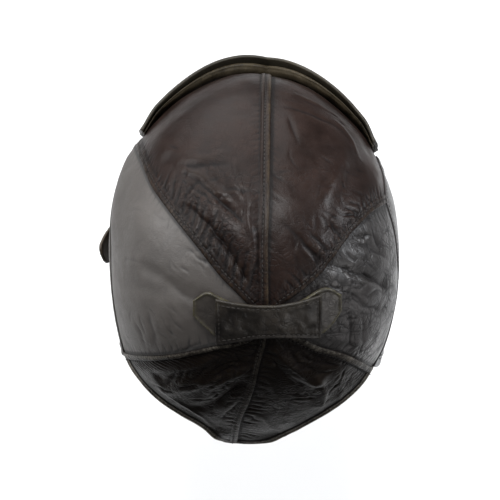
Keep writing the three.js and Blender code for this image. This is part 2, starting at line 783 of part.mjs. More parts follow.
function patchGeometry(rows, halfLength, halfHeight, under, thickness, columns, lines) {
  const layer = (offset) => Array.from({ length: lines + 1 }, (_, i) => (
    Array.from({ length: columns + 1 }, (__, j) => {
      const across = 1 - (2 * j) / columns;
      const { top, bottom } = outlineAt(rows, across);
      const high = THREE.MathUtils.lerp(bottom, top, i / lines) * halfHeight;
      const direction = hubPoint.clone().sub(centre)
        .addScaledVector(hubAcross, across * halfLength)
        .addScaledVector(hubUp, high)
        .normalize();
      return skin(direction, offset);
    })
  ));
  return sheetSolid(layer(under + thickness), layer(under));
}

const baseUnder = lapRise + pieceGap;
const tabUnder = baseUnder + baseThickness + pieceGap;
addPiece(
  'tab_base',
  patchGeometry(baseOutline, baseHalfLength, baseHalfHeight, baseUnder, baseThickness, 20, 5),
  materials.worn,
);
addPiece(
  'tab_strap',
  patchGeometry(tabOutline, tabHalfLength, tabHalfHeight, tabUnder, tabThickness, 16, 5),
  materials.strap,
);

// Buckle place: on the left flap, with the strap running up and back across it
const ringRadius = wireRadius + pieceGap + tabPly;
const strapHalf = leather / 2;
const barDepth = -(strapHalf + pieceGap + ringRadius);
const tabBottom = barDepth - ringRadius;
const buckleNormal = flapLeft.normal(buckleAcross, buckleDown);
const lean = THREE.MathUtils.degToRad(buckleAngle);
const buckleAlong = new THREE.Vector3(0, Math.cos(lean), Math.sin(lean));
buckleAlong.addScaledVector(buckleNormal, -buckleAlong.dot(buckleNormal)).normalize();
const buckleSide = buckleNormal.clone().cross(buckleAlong).normalize();
const buckleOrigin = flapLeft.point(buckleAcross, buckleDown, hemRise + 2 * pieceGap - tabBottom)
  .addScaledVector(buckleAlong, -tabSeat);

function onBuckle(along, side, out) {
  return buckleOrigin.clone()
    .addScaledVector(buckleAlong, along)
    .addScaledVector(buckleSide, side)
    .addScaledVector(buckleNormal, out);
}

function placeOnBuckle(geometry) {
  const axes = new THREE.Matrix4().makeBasis(buckleAlong, buckleSide, buckleNormal);
  return geometry.applyMatrix4(axes.setPosition(buckleOrigin));
}

// Chin strap: one flat strap from the right flap, under the chin and through the buckle
function strapKnots() {
  const knots = [];
  const stand = strapHalf + strapStand + hemRise;
  for (const { across, down } of sewnRows) {
    knots.push({ point: flapRight.point(across, down, stand), normal: flapRight.normal(across, down) });
  }
  const inside = centre.clone();
  inside.add(new THREE.Vector3(0, -chinInside.fore * frontReach, chinInside.up * crownDrop));
  for (const { side, fore, up } of chinRows) {
    const offset = new THREE.Vector3(side * crownHalfWidth, -fore * frontReach, up * crownDrop);
    const point = centre.clone().add(offset);
    knots.push({ point, normal: point.clone().sub(inside).normalize() });
  }
  const besideBuckle = buckleKnots.map((share) => share * keeperStart);
  for (const along of [...besideBuckle, keeperStart + keeperWidth]) {
    knots.push({ point: onBuckle(along, 0, 0), normal: buckleNormal });
  }
  for (const { along, out, turn } of freeEndRows) {
    const point = onBuckle(along * strapWidth, 0, out * strapWidth);
    const angle = THREE.MathUtils.degToRad(turn);
    const normal = buckleNormal.clone().applyAxisAngle(buckleAlong, angle);
    knots.push({ point, normal });
  }
  return knots;
}

const knots = strapKnots();
const strapCurve = new THREE.CatmullRomCurve3(knots.map((knot) => knot.point), false, 'centripetal');

function strapFrame(t) {
  const scaled = t * (knots.length - 1);
  const i = Math.min(Math.floor(scaled), knots.length - 2);
  const along = strapCurve.getTangent(t);
  const normal = knots[i].normal.clone().lerp(knots[i + 1].normal, scaled - i);
  normal.addScaledVector(along, -normal.dot(along)).normalize();
  return { point: strapCurve.getPoint(t), normal, side: normal.clone().cross(along).normalize() };
}

function strapRing(t, share) {
  const { point, normal, side } = strapFrame(t);
  const half = (strapWidth / 2) * share;
  const section = [
    [-half, -strapHalf], [0, -strapHalf], [half, -strapHalf],
    [half, strapHalf], [0, strapHalf], [-half, strapHalf],
  ];
  return section.map(([w, n]) => point.clone().addScaledVector(side, w).addScaledVector(normal, n));
}

const strapSteps = (knots.length - 1) * stepsPerKnot;
const strapRings = Array.from({ length: strapSteps - 1 }, (_, i) => strapRing(i / strapSteps, 1));
for (const { at, share } of strapTip) strapRings.push(strapRing(at, share));
let strap = toManifold(sweptSolid(strapRings));
for (const hole of strapHoles) {
  const punch = new THREE.CylinderGeometry(strapHoleRadius, strapHoleRadius, 3 * leather, 10);
  punch.rotateX(Math.PI / 2);
  punch.translate(hole * strapHolePitch, 0, 0);
  strap = strap.subtract(toManifold(placeOnBuckle(punch)));
}
addPiece('chin_strap', fromManifold(strap), materials.strap);

// Buckle frame: one bent wire, over the strap at its outer bar and under it at its hinge bar
const outerBarHeight = strapHalf + pieceGap + wireRadius;
const frameHalfWidth = strapWidth / 2 + buckleSideClearance + wireRadius;

function framePath() {
  const slope = (barDepth - outerBarHeight) / (2 * buckleHalfLength);
  const middle = (barDepth + outerBarHeight) / 2;
  const points = [];
  for (const [signAlong, signSide, start] of [[1, 1, 0], [-1, 1, 90], [-1, -1, 180], [1, -1, 270]]) {
    for (let i = 0; i <= cornerSteps; i += 1) {
      const angle = THREE.MathUtils.degToRad(start + (90 * i) / cornerSteps);
      const along = signAlong * (buckleHalfLength - buckleCorner) + buckleCorner * Math.cos(angle);
      const side = signSide * (frameHalfWidth - buckleCorner) + buckleCorner * Math.sin(angle);
      points.push(new THREE.Vector3(along, side, middle + slope * along));
    }
  }
  return { points, slope };
}

function frameGeometry() {
  const { points, slope } = framePath();
  const planeNormal = new THREE.Vector3(-slope, 0, 1).normalize();
  const rings = points.map((point, i) => {
    const before = points[(i + points.length - 1) % points.length];
    const after = points[(i + 1) % points.length];
    const along = after.clone().sub(before).normalize();
    const outward = along.clone().cross(planeNormal).normalize();
    return Array.from({ length: wireSides }, (_, k) => {
      const angle = (2 * k * Math.PI) / wireSides;
      return point.clone()
        .addScaledVector(outward, wireRadius * Math.cos(angle))
        .addScaledVector(planeNormal, wireRadius * Math.sin(angle));
    });
  });
  return loopedSolid(rings);
}
addPiece('buckle_frame', placeOnBuckle(frameGeometry()), materials.brass);

// Prong: an eye round the hinge bar and a bent pin through the strap onto the outer bar
const eyeInner = wireRadius + pieceGap;
const prongTop = outerBarHeight + wireRadius + pieceGap + prongRadius;
const prongUnder = -(strapHalf + pieceGap + prongRadius);

function prongGeometry() {
  const eye = new THREE.TorusGeometry(eyeInner + prongRadius, prongRadius, 6, 14);
  eye.rotateX(Math.PI / 2);
  eye.translate(buckleHalfLength, 0, barDepth);
  const path = new THREE.CatmullRomCurve3([
    new THREE.Vector3(buckleHalfLength - eyeInner - prongRadius, 0, barDepth + prongRadius),
    new THREE.Vector3(buckleHalfLength / 3, 0, prongUnder - prongRadius / 2),
    new THREE.Vector3(prongRadius, 0, prongUnder + prongRadius / 2),
    new THREE.Vector3(0, 0, 0),
    new THREE.Vector3(-prongRadius, 0, strapHalf + prongRadius),
    new THREE.Vector3(-buckleHalfLength / 2, 0, prongTop - prongRadius / 3),
    new THREE.Vector3(-buckleHalfLength, 0, prongTop),
    new THREE.Vector3(-buckleHalfLength - prongPast, 0, prongTop - prongRadius / 4),
  ], false, 'centripetal');
  const rings = Array.from({ length: prongSteps + 1 }, (_, i) => {
    const t = i / prongSteps;
    const along = path.getTangent(t);
    const across = new THREE.Vector3(0, 1, 0);
    const other = along.clone().cross(across).normalize();
    const radius = prongRadius * (t > 0.9 ? 0.8 : 1);
    return Array.from({ length: prongSides }, (__, k) => {
      const angle = (2 * k * Math.PI) / prongSides;
      return path.getPoint(t)
        .addScaledVector(across, radius * Math.cos(angle))
        .addScaledVector(other, radius * Math.sin(angle));
    });
  });
  return fromManifold(toManifold(eye).add(toManifold(sweptSolid(rings))));
}
addPiece('buckle_prong', placeOnBuckle(prongGeometry()), materials.brass);

// Buckle tab: a strap end folded round the hinge bar and sewn to the flap, slotted for the prong
function buckleTabGeometry() {
  const profile = new THREE.Shape();
  profile.moveTo(tabTail, tabBottom);
  profile.lineTo(tabTail, tabBottom + 2 * tabPly);
  profile.lineTo(buckleHalfLength + 2 * ringRadius, tabBottom + 2 * tabPly);
  const bend = Math.PI / 4;
  profile.absarc(buckleHalfLength, barDepth, ringRadius, bend, 1.5 * Math.PI, false);
  profile.lineTo(tabTail, tabBottom);
  const bore = new THREE.Path();
  bore.absarc(buckleHalfLength, barDepth, wireRadius + pieceGap, 0, 2 * Math.PI, true);
  profile.holes.push(bore);
  const tab = new THREE.ExtrudeGeometry(profile, { depth: tabWidth, bevelEnabled: false, curveSegments: 8 });
  tab.translate(0, 0, -tabWidth / 2);
  tab.rotateX(Math.PI / 2);
  const slotReach = eyeInner + 2 * prongRadius + pieceGap;
  const slot = new THREE.BoxGeometry(2 * slotReach, 2 * (prongSlotHalf - prongRadius + pieceGap), 4 * ringRadius);
  slot.translate(buckleHalfLength, 0, barDepth);
  return fromManifold(toManifold(tab).subtract(toManifold(slot)));
}
addPiece('buckle_tab', placeOnBuckle(buckleTabGeometry()), materials.strap);

// Keeper: a leather loop sewn to the flap, over the strap and the tab
function keeperGeometry() {
  const half = strapWidth / 2 + pieceGap;
  const top = strapHalf + pieceGap;
  const profile = new THREE.Shape();
  profile.moveTo(half, tabBottom);
  profile.lineTo(half + keeperPly, tabBottom);
  profile.lineTo(half + keeperPly, top);
  profile.lineTo(half, top + keeperPly);
  profile.lineTo(-half, top + keeperPly);
  profile.lineTo(-half - keeperPly, top);
  profile.lineTo(-half - keeperPly, tabBottom);
  profile.lineTo(-half, tabBottom);
  profile.lineTo(-half, top);
  profile.lineTo(half, top);
  profile.lineTo(half, tabBottom);
  const loop = new THREE.ExtrudeGeometry(profile, { depth: keeperWidth, bevelEnabled: false });
  const axes = new THREE.Matrix4().makeBasis(
    new THREE.Vector3(0, 1, 0),
    new THREE.Vector3(0, 0, 1),
    new THREE.Vector3(1, 0, 0),
  );
  loop.applyMatrix4(axes.setPosition(keeperStart, 0, 0));
  return loop;
}
addPiece('strap_loop', placeOnBuckle(keeperGeometry()), materials.strap);

export default helmet;
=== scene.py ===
"""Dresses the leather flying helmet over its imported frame.

Lengths inside the classes are millimetres in the frame of the part, +Z up, the
front at -Y and the wearer's left at +X. Meshes are written in metres.
"""

from __future__ import annotations

import logging
import math
from dataclasses import dataclass, field
from enum import Enum
from typing import Sequence

import bpy
import numpy as np
from mathutils import Matrix, Vector

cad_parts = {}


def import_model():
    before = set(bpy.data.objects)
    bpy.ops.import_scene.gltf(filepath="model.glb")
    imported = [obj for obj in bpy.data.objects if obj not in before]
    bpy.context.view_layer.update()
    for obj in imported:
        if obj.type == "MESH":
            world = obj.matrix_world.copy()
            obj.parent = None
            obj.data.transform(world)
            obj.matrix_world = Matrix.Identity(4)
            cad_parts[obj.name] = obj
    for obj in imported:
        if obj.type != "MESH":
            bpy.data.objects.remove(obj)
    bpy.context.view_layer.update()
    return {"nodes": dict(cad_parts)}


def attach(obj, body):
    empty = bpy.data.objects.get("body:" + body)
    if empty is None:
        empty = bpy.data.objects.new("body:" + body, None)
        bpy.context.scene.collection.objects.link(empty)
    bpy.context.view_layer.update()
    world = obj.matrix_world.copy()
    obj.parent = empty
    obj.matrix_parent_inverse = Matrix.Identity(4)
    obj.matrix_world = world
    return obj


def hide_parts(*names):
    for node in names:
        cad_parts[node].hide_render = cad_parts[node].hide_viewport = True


LOG = logging.getLogger("helmet")
Array = np.ndarray
Row = tuple[float, float, float]
Pair = tuple[float, float]
Faces = tuple[Array, Array, Array, Array]
Material = bpy.types.Material
Piece = bpy.types.Object
Socket = bpy.types.NodeSocket
MM = 0.001
BODY = "root"


def unit(vectors: Array) -> Array:
    """Scales vectors to length one."""
    return vectors / np.maximum(np.linalg.norm(vectors, axis=-1, keepdims=True), 1e-9)


def smoothstep(values: Array, low: float, high: float) -> Array:
    """Eases values from 0 at low to 1 at high."""
    share = np.clip((values - low) / (high - low), 0.0, 1.0)
    return share * share * (3.0 - 2.0 * share)


def bell(values: Array, width: float) -> Array:
    """Gives a bell curve that is 1 where the values are zero."""
    return np.exp(-((values / width) ** 2))


class SoftNoise:
    """Smooth value noise from a seeded table."""

    def __init__(self, seed: int, size: int = 24) -> None:
        """Fills the table."""
        self.size = size
        self.table = np.random.default_rng(seed).uniform(-1.0, 1.0, (size, size, size))

    def at(self, points: Array, scale: float) -> Array:
        """Reads the noise.

        Args:
            points: Points in the last axis.
            scale: Length of one cell, in the points' unit.

        Returns:
            Values from -1 to 1.
        """
        place = points / scale
        cell = np.floor(place).astype(int)
        part = place - cell
        part = part * part * part * (part * (part * 6.0 - 15.0) + 10.0)
        total = np.zeros(points.shape[:-1])
        for corner in range(8):
            step = np.array([corner & 1, (corner >> 1) & 1, corner >> 2])
            index = (cell + step) % self.size
            weight = np.prod(np.where(step == 1, part, 1.0 - part), axis=-1)
            total += weight * self.table[index[..., 0], index[..., 1], index[..., 2]]
        return total


@dataclass(frozen=True)
class CrownForm:
    """The rounded form that the crown is sewn to, read by direction from its centre."""

    half_width: float = 85.5
    front_reach: float = 99.0
    back_reach: float = 96.0
    rise: float = 104.0
    drop: float = 150.0
    fullness: float = 2.3
    front_plan: float = 2.0
    back_plan: float = 2.65
    front_taper: float = 0.22
    taper_power: float = 3.0
    leather: float = 2.0

    @property
    def centre(self) -> Array:
        """The form's centre in the frame of the part."""
        return np.array([0.0, 0.0, self.leather - self.rise])

    def value(self, d: Array) -> Array:
        """Gives the form's level, which is 1 on its surface.

        Args:
            d: Vectors from the centre.

        Returns:
            The levels.
        """
        x, y, z = d[..., 0], d[..., 1], d[..., 2]
        reach = np.where(y < 0, self.front_reach, self.back_reach)
        plan = np.where(y < 0, self.front_plan, self.back_plan)
        height = np.where(z > 0, self.rise, self.drop)
        span = np.sqrt((x / self.half_width) ** 2 + (y / reach) ** 2 + (z / height) ** 2)
        fore = np.maximum(-y, 0.0) / self.front_reach / np.maximum(span, 1e-9)
        half = self.half_width * (1.0 - self.front_taper * fore**self.taper_power)
        level = (np.abs(x / half) ** plan + np.abs(y / reach) ** plan) ** (1.0 / plan)
        return (level**self.fullness + np.abs(z / height) ** self.fullness) ** (1.0 / self.fullness)

    def toward(self, rows: Sequence[Row] | Array) -> Array:
        """Turns share rows into directions.

        Args:
            rows: Side, fore and up shares, in hundredths.

        Returns:
            Unit vectors from the centre.
        """
        shares = np.asarray(rows, dtype=float) / 100.0
        side, fore, up = shares[..., 0], shares[..., 1], shares[..., 2]
        y = -fore * np.where(fore > 0, self.front_reach, self.back_reach)
        z = up * np.where(up > 0, self.rise, self.drop)
        return unit(np.stack([side * self.half_width, y, z], axis=-1))

    def surface(self, d: Array) -> Array:
        """Gives the points of the form in directions, from its centre."""
        return d / self.value(d)[..., None]

    def normal(self, d: Array) -> Array:
        """Gives the form's outward normals.

        Args:
            d: Unit directions from the centre.

        Returns:
            Unit normals.
        """
        step = 1e-4
        slopes = []
        for axis in range(3):
            shift = np.zeros(3)
            shift[axis] = step
            slopes.append(self.value(d + shift) - self.value(d - shift))
        return unit(np.stack(slopes, axis=-1))

    def skin(self, d: Array, offset: Array | float) -> Array:
        """Gives points at an offset from the form, in the frame of the part."""
        lift = np.asarray(offset)[..., None]
        return self.surface(d) + self.centre + self.normal(d) * lift


@dataclass(frozen=True)
class Span:
    """A stretch of line on the form, read by shares of its length."""

    points: Array
    marks: Array

    @property
    def length(self) -> float:
        """The length of the stretch."""
        return float(self.marks[-1])

    def at(self, shares: Array | float) -> Array:
        """Reads points by share."""
        goal = np.clip(shares, 0.0, 1.0) * self.length
        return np.stack([np.interp(goal, self.marks, self.points[:, k]) for k in range(3)], axis=-1)


class FormLine:
    """A smooth line through points."""

    def __init__(self, points: Array) -> None:
        """Adds a knot past each end of the points.

        Args:
            points: The points, one a row.
        """
        first, last = 2.0 * points[0] - points[1], 2.0 * points[-1] - points[-2]
        self.count = len(points)
        self.knots = np.vstack([first, points, last])

    @classmethod
    def on(cls, form: CrownForm, rows: Sequence[Row]) -> FormLine:
        """Draws the line through share rows on the form."""
        return cls(form.surface(form.toward(rows)))

    def points(self, places: Array) -> Array:
        """Reads the centripetal curve at places counted in knots.

        Args:
            places: Places from 0 to the number of knots less one.

        Returns:
            The points.
        """
        index = np.clip(places.astype(int), 0, self.count - 2)
        part = (places - index)[:, None]
        p0, p1, p2, p3 = (self.knots[index + k] for k in range(4))
        pairs = ((p0, p1), (p1, p2), (p2, p3))
        d0, d1, d2 = (np.sqrt(np.linalg.norm(b - a, axis=1))[:, None] for a, b in pairs)
        start = ((p1 - p0) / d0 - (p2 - p0) / (d0 + d1) + (p2 - p1) / d1) * d1
        end = ((p2 - p1) / d1 - (p3 - p1) / (d1 + d2) + (p3 - p2) / d2) * d1
        square = -3.0 * p1 + 3.0 * p2 - 2.0 * start - end
        cube = 2.0 * p1 - 2.0 * p2 + start + end
        return p1 + part * (start + part * (square + part * cube))

    def between(self, first: int = 0, last: int | None = None) -> Span:
        """Measures the stretch between two of the rows.

        Args:
            first: The first row.
            last: The last row, or None for the end.

        Returns:
            The stretch.
        """
        end = self.count - 1 if last is None else last
        points = self.points(np.linspace(first, end, 161))
        steps = np.linalg.norm(np.diff(points, axis=0), axis=1)
        return Span(points, np.concatenate([[0.0], np.cumsum(steps)]))


RIM_ROWS: dict[str, Row] = {
    "corner_right": (-80, -74, -13),
    "behind_ear_right": (-95, -54, -10),
    "ear_right": (-97, -36, 20),
    "ear_top_right": (-93, -16, 42),
    "seam_end_right": (-87, -3, 56),
    "over_ear_right": (-88, 17, 53),
    "temple_right": (-86, 34, 50),
    "brow_side_right": (-72, 58, 52),
    "brow_quarter_right": (-46, 77, 53),
    "brow_centre": (-13, 95, 34),
    "brow_quarter_left": (27, 84, 47),
    "brow_side_left": (56, 70, 52),
    "temple_left": (80, 48, 48),
    "over_ear_left": (87, 36, 41),
    "ear_top_left": (95, 6, 27),
    "ear_left": (98, -24, 6),
    "behind_ear_left": (95, -44, -12),
    "corner_left": (91, -52, -22),
}

NAPE_ROWS: dict[str, Row] = {
    "corner_right": (-80, -74, -13),
    "outer_right": (-67, -84, -18),
    "middle_right": (-54, -90, -24),
    "inner_right": (-40, -93, -33),
    "low_right": (-20, -91, -50),
    "tip": (13, -86, -63),
    "inner_left": (28, -91, -46),
    "middle_left": (45, -92, -32),
    "outer_left": (62, -86, -25),
    "side_left": (78, -73, -21),
    "corner_left": (91, -52, -22),
}

HUB: Row = (-1, -84, 61)

SEAM_ROWS: dict[str, tuple[Row, ...]] = {
    "centre": (
        HUB, (-1, -77, 71), (-1, -55, 88), (-3, -28, 98),
        (-5, 4, 100), (-8, 42, 94), (-12, 80, 66), (-13, 95, 34),
    ),
    "diagonal_left": (
        HUB, (12, -76, 71), (26, -66, 79), (42, -49, 86), (58, -26, 85),
        (69, -4, 78), (76, 19, 69), (80, 48, 48),
    ),
    "diagonal_right": (
        HUB, (-9, -79, 68), (-24, -72, 74), (-39, -62, 79),
        (-52, -47, 82), (-70, -25, 76), (-87, -3, 56),
    ),
    "lateral_left": (
        HUB, (14, -91, 49), (33, -91, 43), (54, -88, 31),
        (76, -77, 9), (87, -62, -11), (91, -52, -22),
    ),
    "lateral_right": (
        HUB, (-18, -89, 53), (-37, -91, 40), (-47, -91, 34),
        (-59, -88, 22), (-80, -74, -13),
    ),
    "back": (
        HUB, (-1, -89, 52), (3, -97, 30), (5, -100, 13),
        (8, -100, -6), (12, -98, -23), (13, -86, -63),
    ),
}


class Crease(Enum):
    """How the height of a fold falls off beside its line."""

    SOFT = "soft"
    SHARP = "sharp"


@dataclass(frozen=True)
class Fold:
    """A fold or dent along a line through three places on the form."""

    start: Row
    middle: Row
    end: Row
    width: float
    height: float
    crease: Crease = Crease.SOFT


SHARP = Crease.SHARP


def folds(rows: Sequence[tuple]) -> tuple[Fold, ...]:
    """Makes folds from rows.

    Args:
        rows: Three places in hundredths, a width, a height and perhaps a crease, a row for each fold.

    Returns:
        The folds.
    """
    made = []
    for row in rows:
        made.append(Fold(*np.reshape(row[:9], (3, 3)).tolist(), *row[9:]))
    return tuple(made)


MAIN_FOLDS = folds((
    (86, 34, 47, 90, 20, 44, 94, 0, 38, 13.7, 2.0),
    (-76, 24, 68, -59, -11, 86, -43, -43, 87, 8.6, -1.8),
    (-56, 1, 88, -44, -29, 91, -35, -54, 85, 5.1, 0.9),
    (49, -29, 89, 24, -51, 89, 8, -70, 78, 4.3, -1.3),
    (59, 8, 86, 29, -20, 96, 11, -36, 95, 6.0, -1.1),
    (8, -31, 97, 8, -47, 92, 9, -60, 85, 4.3, 0.9),
    (-44, -60, 79, -56, -61, 72, -80, -56, 50, 4.3, -1.6),
    (-58, -40, 81, -65, -41, 76, -78, -39, 64, 4.3, -1.1),
    (-55, -74, 59, -56, -81, 48, -57, -86, 34, 4.3, -1.1),
    (76, -49, 62, 65, -58, 67, 50, -69, 68, 5.1, -1.1),
    (67, -85, -2, 47, -94, 17, 16, -96, 34, 4.3, -1.4),
    (63, -87, -10, 44, -96, 7, 14, -98, 26, 4.3, 1.1),
    (40, -96, -15, 27, -99, -4, 14, -99, 12, 4.3, -1.3),
    (-6, -92, 46, -20, -97, 29, -36, -97, 12, 5.1, 1.4),
    (-36, -97, 12, -42, -96, 0, -41, -96, -14, 5.1, 1.4),
    (28, -91, -46, 13, -87, -61, -10, -90, -54, 10.3, 2.7),
))
FINE_FOLDS = folds((
    (53, 4, 89, 39, -11, 95, 25, -26, 96, 2.6, 0.9),
    (49, 6, 91, 34, 1, 96, 19, 3, 99, 3.0, 0.7),
    (50, 2, 91, 35, -3, 96, 21, -4, 98, 1.6, -0.6, SHARP),
    (44, -4, 93, 31, -15, 97, 20, -30, 96, 2.2, 0.7),
    (48, -4, 91, 35, -17, 95, 23, -32, 96, 1.3, -0.8, SHARP),
    (29, -25, 96, 20, -34, 95, 12, -40, 94, 1.6, -1.3, SHARP),
    (52, -21, 89, 36, -39, 91, 21, -55, 87, 1.7, -1.3, SHARP),
    (36, -39, 91, 21, -55, 87, 9, -69, 78, 1.7, -1.4, SHARP),
    (51, -20, 90, 45, -14, 93, 39, -11, 95, 1.5, -0.8, SHARP),
    (34, -45, 90, 32, -37, 93, 29, -30, 95, 1.5, -0.8, SHARP),
    (45, -32, 90, 40, -24, 93, 33, -20, 95, 1.4, -0.6, SHARP),
    (9, -33, 96, 8, -53, 89, 8, -69, 78, 2.2, 0.9),
    (3, -43, 93, 4, -61, 84, 4, -76, 72, 1.5, -0.9, SHARP),
    (19, -3, 99, 17, -17, 99, 16, -30, 97, 3.5, 0.5),
    (-18, 51, 88, -36, 47, 85, -54, 40, 79, 2.4, 0.5),
    (-17, 38, 94, -37, 34, 91, -57, 27, 83, 1.6, -0.5, SHARP),
    (-20, 29, 96, -23, 18, 97, -25, 11, 98, 1.6, -0.5, SHARP),
    (-54, 34, 83, -63, 23, 80, -68, 14, 78, 2.0, 0.7),
    (-57, 8, 86, -47, -13, 92, -36, -32, 93, 4.0, 0.9),
    (-22, -47, 91, -29, -54, 87, -37, -61, 80, 1.6, -0.9, SHARP),
    (-31, -46, 90, -39, -51, 85, -45, -53, 82, 1.6, -0.9, SHARP),
    (-58, -27, 84, -65, -29, 80, -70, -29, 75, 1.6, -0.8, SHARP),
    (-44, -38, 89, -49, -43, 85, -53, -46, 82, 1.6, -0.8, SHARP),
    (-12, -40, 94, -20, -47, 91, -21, -56, 87, 1.8, -0.5, SHARP),
    (-43, -60, 79, -61, -60, 69, -82, -56, 47, 1.5, -1.3, SHARP),
    (-45, -63, 77, -62, -63, 66, -82, -59, 43, 3.0, 1.0),
    (-39, -67, 75, -59, -70, 61, -83, -65, 31, 1.6, -0.9, SHARP),
    (-53, -72, 64, -68, -71, 51, -85, -61, 31, 2.2, -0.9, SHARP),
    (-66, -35, 77, -70, -43, 71, -72, -50, 65, 1.6, -0.7, SHARP),
    (-57, -48, 79, -73, -43, 68, -84, -41, 54, 1.8, -0.9, SHARP),
    (-69, -22, 77, -75, -34, 69, -82, -39, 58, 1.8, -0.8, SHARP),
    (-56, -76, 56, -58, -81, 45, -59, -86, 32, 1.4, -0.9, SHARP),
    (-64, -74, 50, -66, -79, 38, -66, -84, 24, 1.4, -0.8, SHARP),
    (-44, -87, 46, -61, -84, 33, -75, -77, 23, 2.4, 0.6),
    (91, -42, 38, 65, -64, 62, 40, -77, 65, 7.0, -0.8),
    (75, -67, 46, 71, -75, 39, 69, -81, 27, 2.4, -0.5),
    (84, -65, 29, 78, -73, 26, 76, -77, 18, 2.0, -0.4),
    (59, -62, 68, 50, -71, 66, 42, -75, 66, 2.6, -0.5),
    (86, -7, 59, 74, -25, 72, 59, -45, 79, 8.0, 0.8),
    (9, -94, 42, 37, -94, 33, 66, -86, 1, 2.2, 0.9),
    (7, -96, 35, 31, -97, 21, 60, -89, -6, 1.5, -1.0, SHARP),
    (9, -98, 28, 27, -98, 15, 38, -97, -1, 1.8, 0.8),
    (11, -99, 16, 26, -99, -5, 34, -97, -21, 1.5, -0.9, SHARP),
    (64, -86, -12, 48, -94, -17, 24, -93, -40, 1.8, 0.7),
    (12, -100, -4, 21, -99, -16, 25, -95, -35, 1.5, -0.7, SHARP),
    (-4, -92, 46, -19, -96, 32, -39, -97, 2, 2.2, 0.9),
    (-5, -95, 40, -13, -98, 27, -24, -99, 10, 1.5, -1.0, SHARP),
    (-20, -91, 47, -41, -94, 29, -71, -82, -3, 1.7, -0.8, SHARP),
    (-33, -96, 26, -43, -96, 0, -43, -94, -25, 1.8, 0.7),
    (-5, -99, 19, -12, -100, -2, -12, -99, -20, 2.0, 0.5),
    (-50, -93, 13, -57, -91, -7, -56, -90, -19, 2.0, 0.6),
    (-1, -99, -16, -9, -97, -31, -24, -89, -51, 1.8, 0.5),
    (-23, -98, 17, -34, -98, 7, -51, -93, 2, 1.5, -0.6, SHARP),
))


@dataclass(frozen=True)
class CreaseZone:
    """A patch of the form with seeded small creases that run one way."""

    centre: Row
    toward: Row
    reach: tuple[float, float]
    count: int
    length: float
    width: float
    height: float
    turn: float
    seed: int
    network: float = 0.3

    def presence(self, form: CrownForm, d: Array) -> Array:
        """Gives how strongly the zone's fine network shows in each direction."""
        middle = form.surface(form.toward([self.centre]))[0]
        gap = np.linalg.norm(form.surface(d) - middle, axis=-1)
        return self.network * np.exp(-((gap / (1.5 * max(self.reach))) ** 2))

    def paths(self, form: CrownForm) -> list[tuple[Array, float]]:
        """Draws the creases.

        Args:
            form: The form that they lie on.

        Returns:
            A path and a height for each crease.
        """
        draw = np.random.default_rng(self.seed)
        middle, target = form.surface(form.toward([self.centre, self.toward]))
        ahead = unit(target - middle)
        aside = unit(np.cross(ahead, form.normal(unit(middle))))
        made = []
        for _ in range(self.count):
            place = middle + ahead * draw.normal(0, self.reach[0]) + aside * draw.normal(0, self.reach[1])
            angle = math.radians(draw.normal(0, self.turn))
            bend = draw.normal(0, 0.12)
            run = self.length * draw.uniform(0.5, 1.5)
            steps = np.linspace(-0.5, 0.5, 7)[:, None] * run
            way = ahead * math.cos(angle) + aside * math.sin(angle)
            side = aside * math.cos(angle) - ahead * math.sin(angle)
            path = place + way * steps + side * (steps**2 / run * bend * 4.0)
            made.append((form.surface(unit(path)), self.height * draw.uniform(0.4, 1.2)))
        return made


ZONE_ROWS = (
    (35, -51, 87, 20, -64, 81, 14, 7, 26, 13, 1.3, -0.75, 38, 1.0),
    (40, -11, 94, 25, -24, 97, 12, 9, 22, 15, 1.2, -0.50, 28),
    (11, -66, 80, 9, -77, 71, 10, 5, 16, 9, 1.1, -0.60, 20, 0.8),
    (20, -20, 98, 12, -55, 88, 14, 6, 14, 12, 1.1, -0.40, 40),
    (-56, -30, 85, -70, -36, 74, 7, 16, 26, 10, 1.2, -0.65, 24, 0.8),
    (-30, -58, 84, -37, -66, 77, 6, 12, 20, 9, 1.1, -0.55, 35, 0.7),
    (-25, -20, 97, -45, -28, 91, 16, 16, 16, 14, 1.2, -0.30, 50),
    (-63, -50, 73, -87, -41, 50, 13, 13, 34, 15, 1.2, -0.60, 24, 1.0),
    (-56, -72, 61, -75, -71, 38, 11, 9, 26, 12, 1.1, -0.55, 50, 1.0),
    (-45, -60, 78, -50, -72, 66, 8, 12, 18, 9, 1.1, -0.50, 25, 0.9),
    (66, -78, 42, 44, -94, 21, 9, 18, 16, 12, 1.3, -0.35, 25),
    (44, -94, 21, 73, -80, -10, 14, 9, 26, 20, 1.4, -0.70, 16, 0.8),
    (25, -98, 13, 48, -93, -15, 12, 9, 22, 16, 1.3, -0.65, 20, 0.7),
    (17, -96, 30, 30, -97, 18, 7, 6, 16, 11, 1.2, -0.60, 22, 0.8),
    (-21, -96, 30, -50, -94, 8, 12, 8, 22, 15, 1.3, -0.65, 22, 0.7),
    (-34, -98, -3, -20, -98, 17, 11, 10, 18, 15, 1.4, -0.55, 30, 0.6),
    (-58, -90, 2, -36, -95, -25, 12, 7, 20, 13, 1.2, -0.50, 30, 0.6),
    (-45, 44, 82, -20, 60, 82, 16, 8, 12, 16, 1.2, -0.25, 16),
    (71, -30, 72, 84, -3, 62, 22, 12, 12, 16, 1.4, -0.22, 40),
)
ZONE_SEED = 201
CREASE_ZONES = tuple(
    CreaseZone(zone[:3], zone[3:6], zone[6:8], *zone[8:13], ZONE_SEED + k, *zone[13:])
    for k, zone in enumerate(ZONE_ROWS)
)


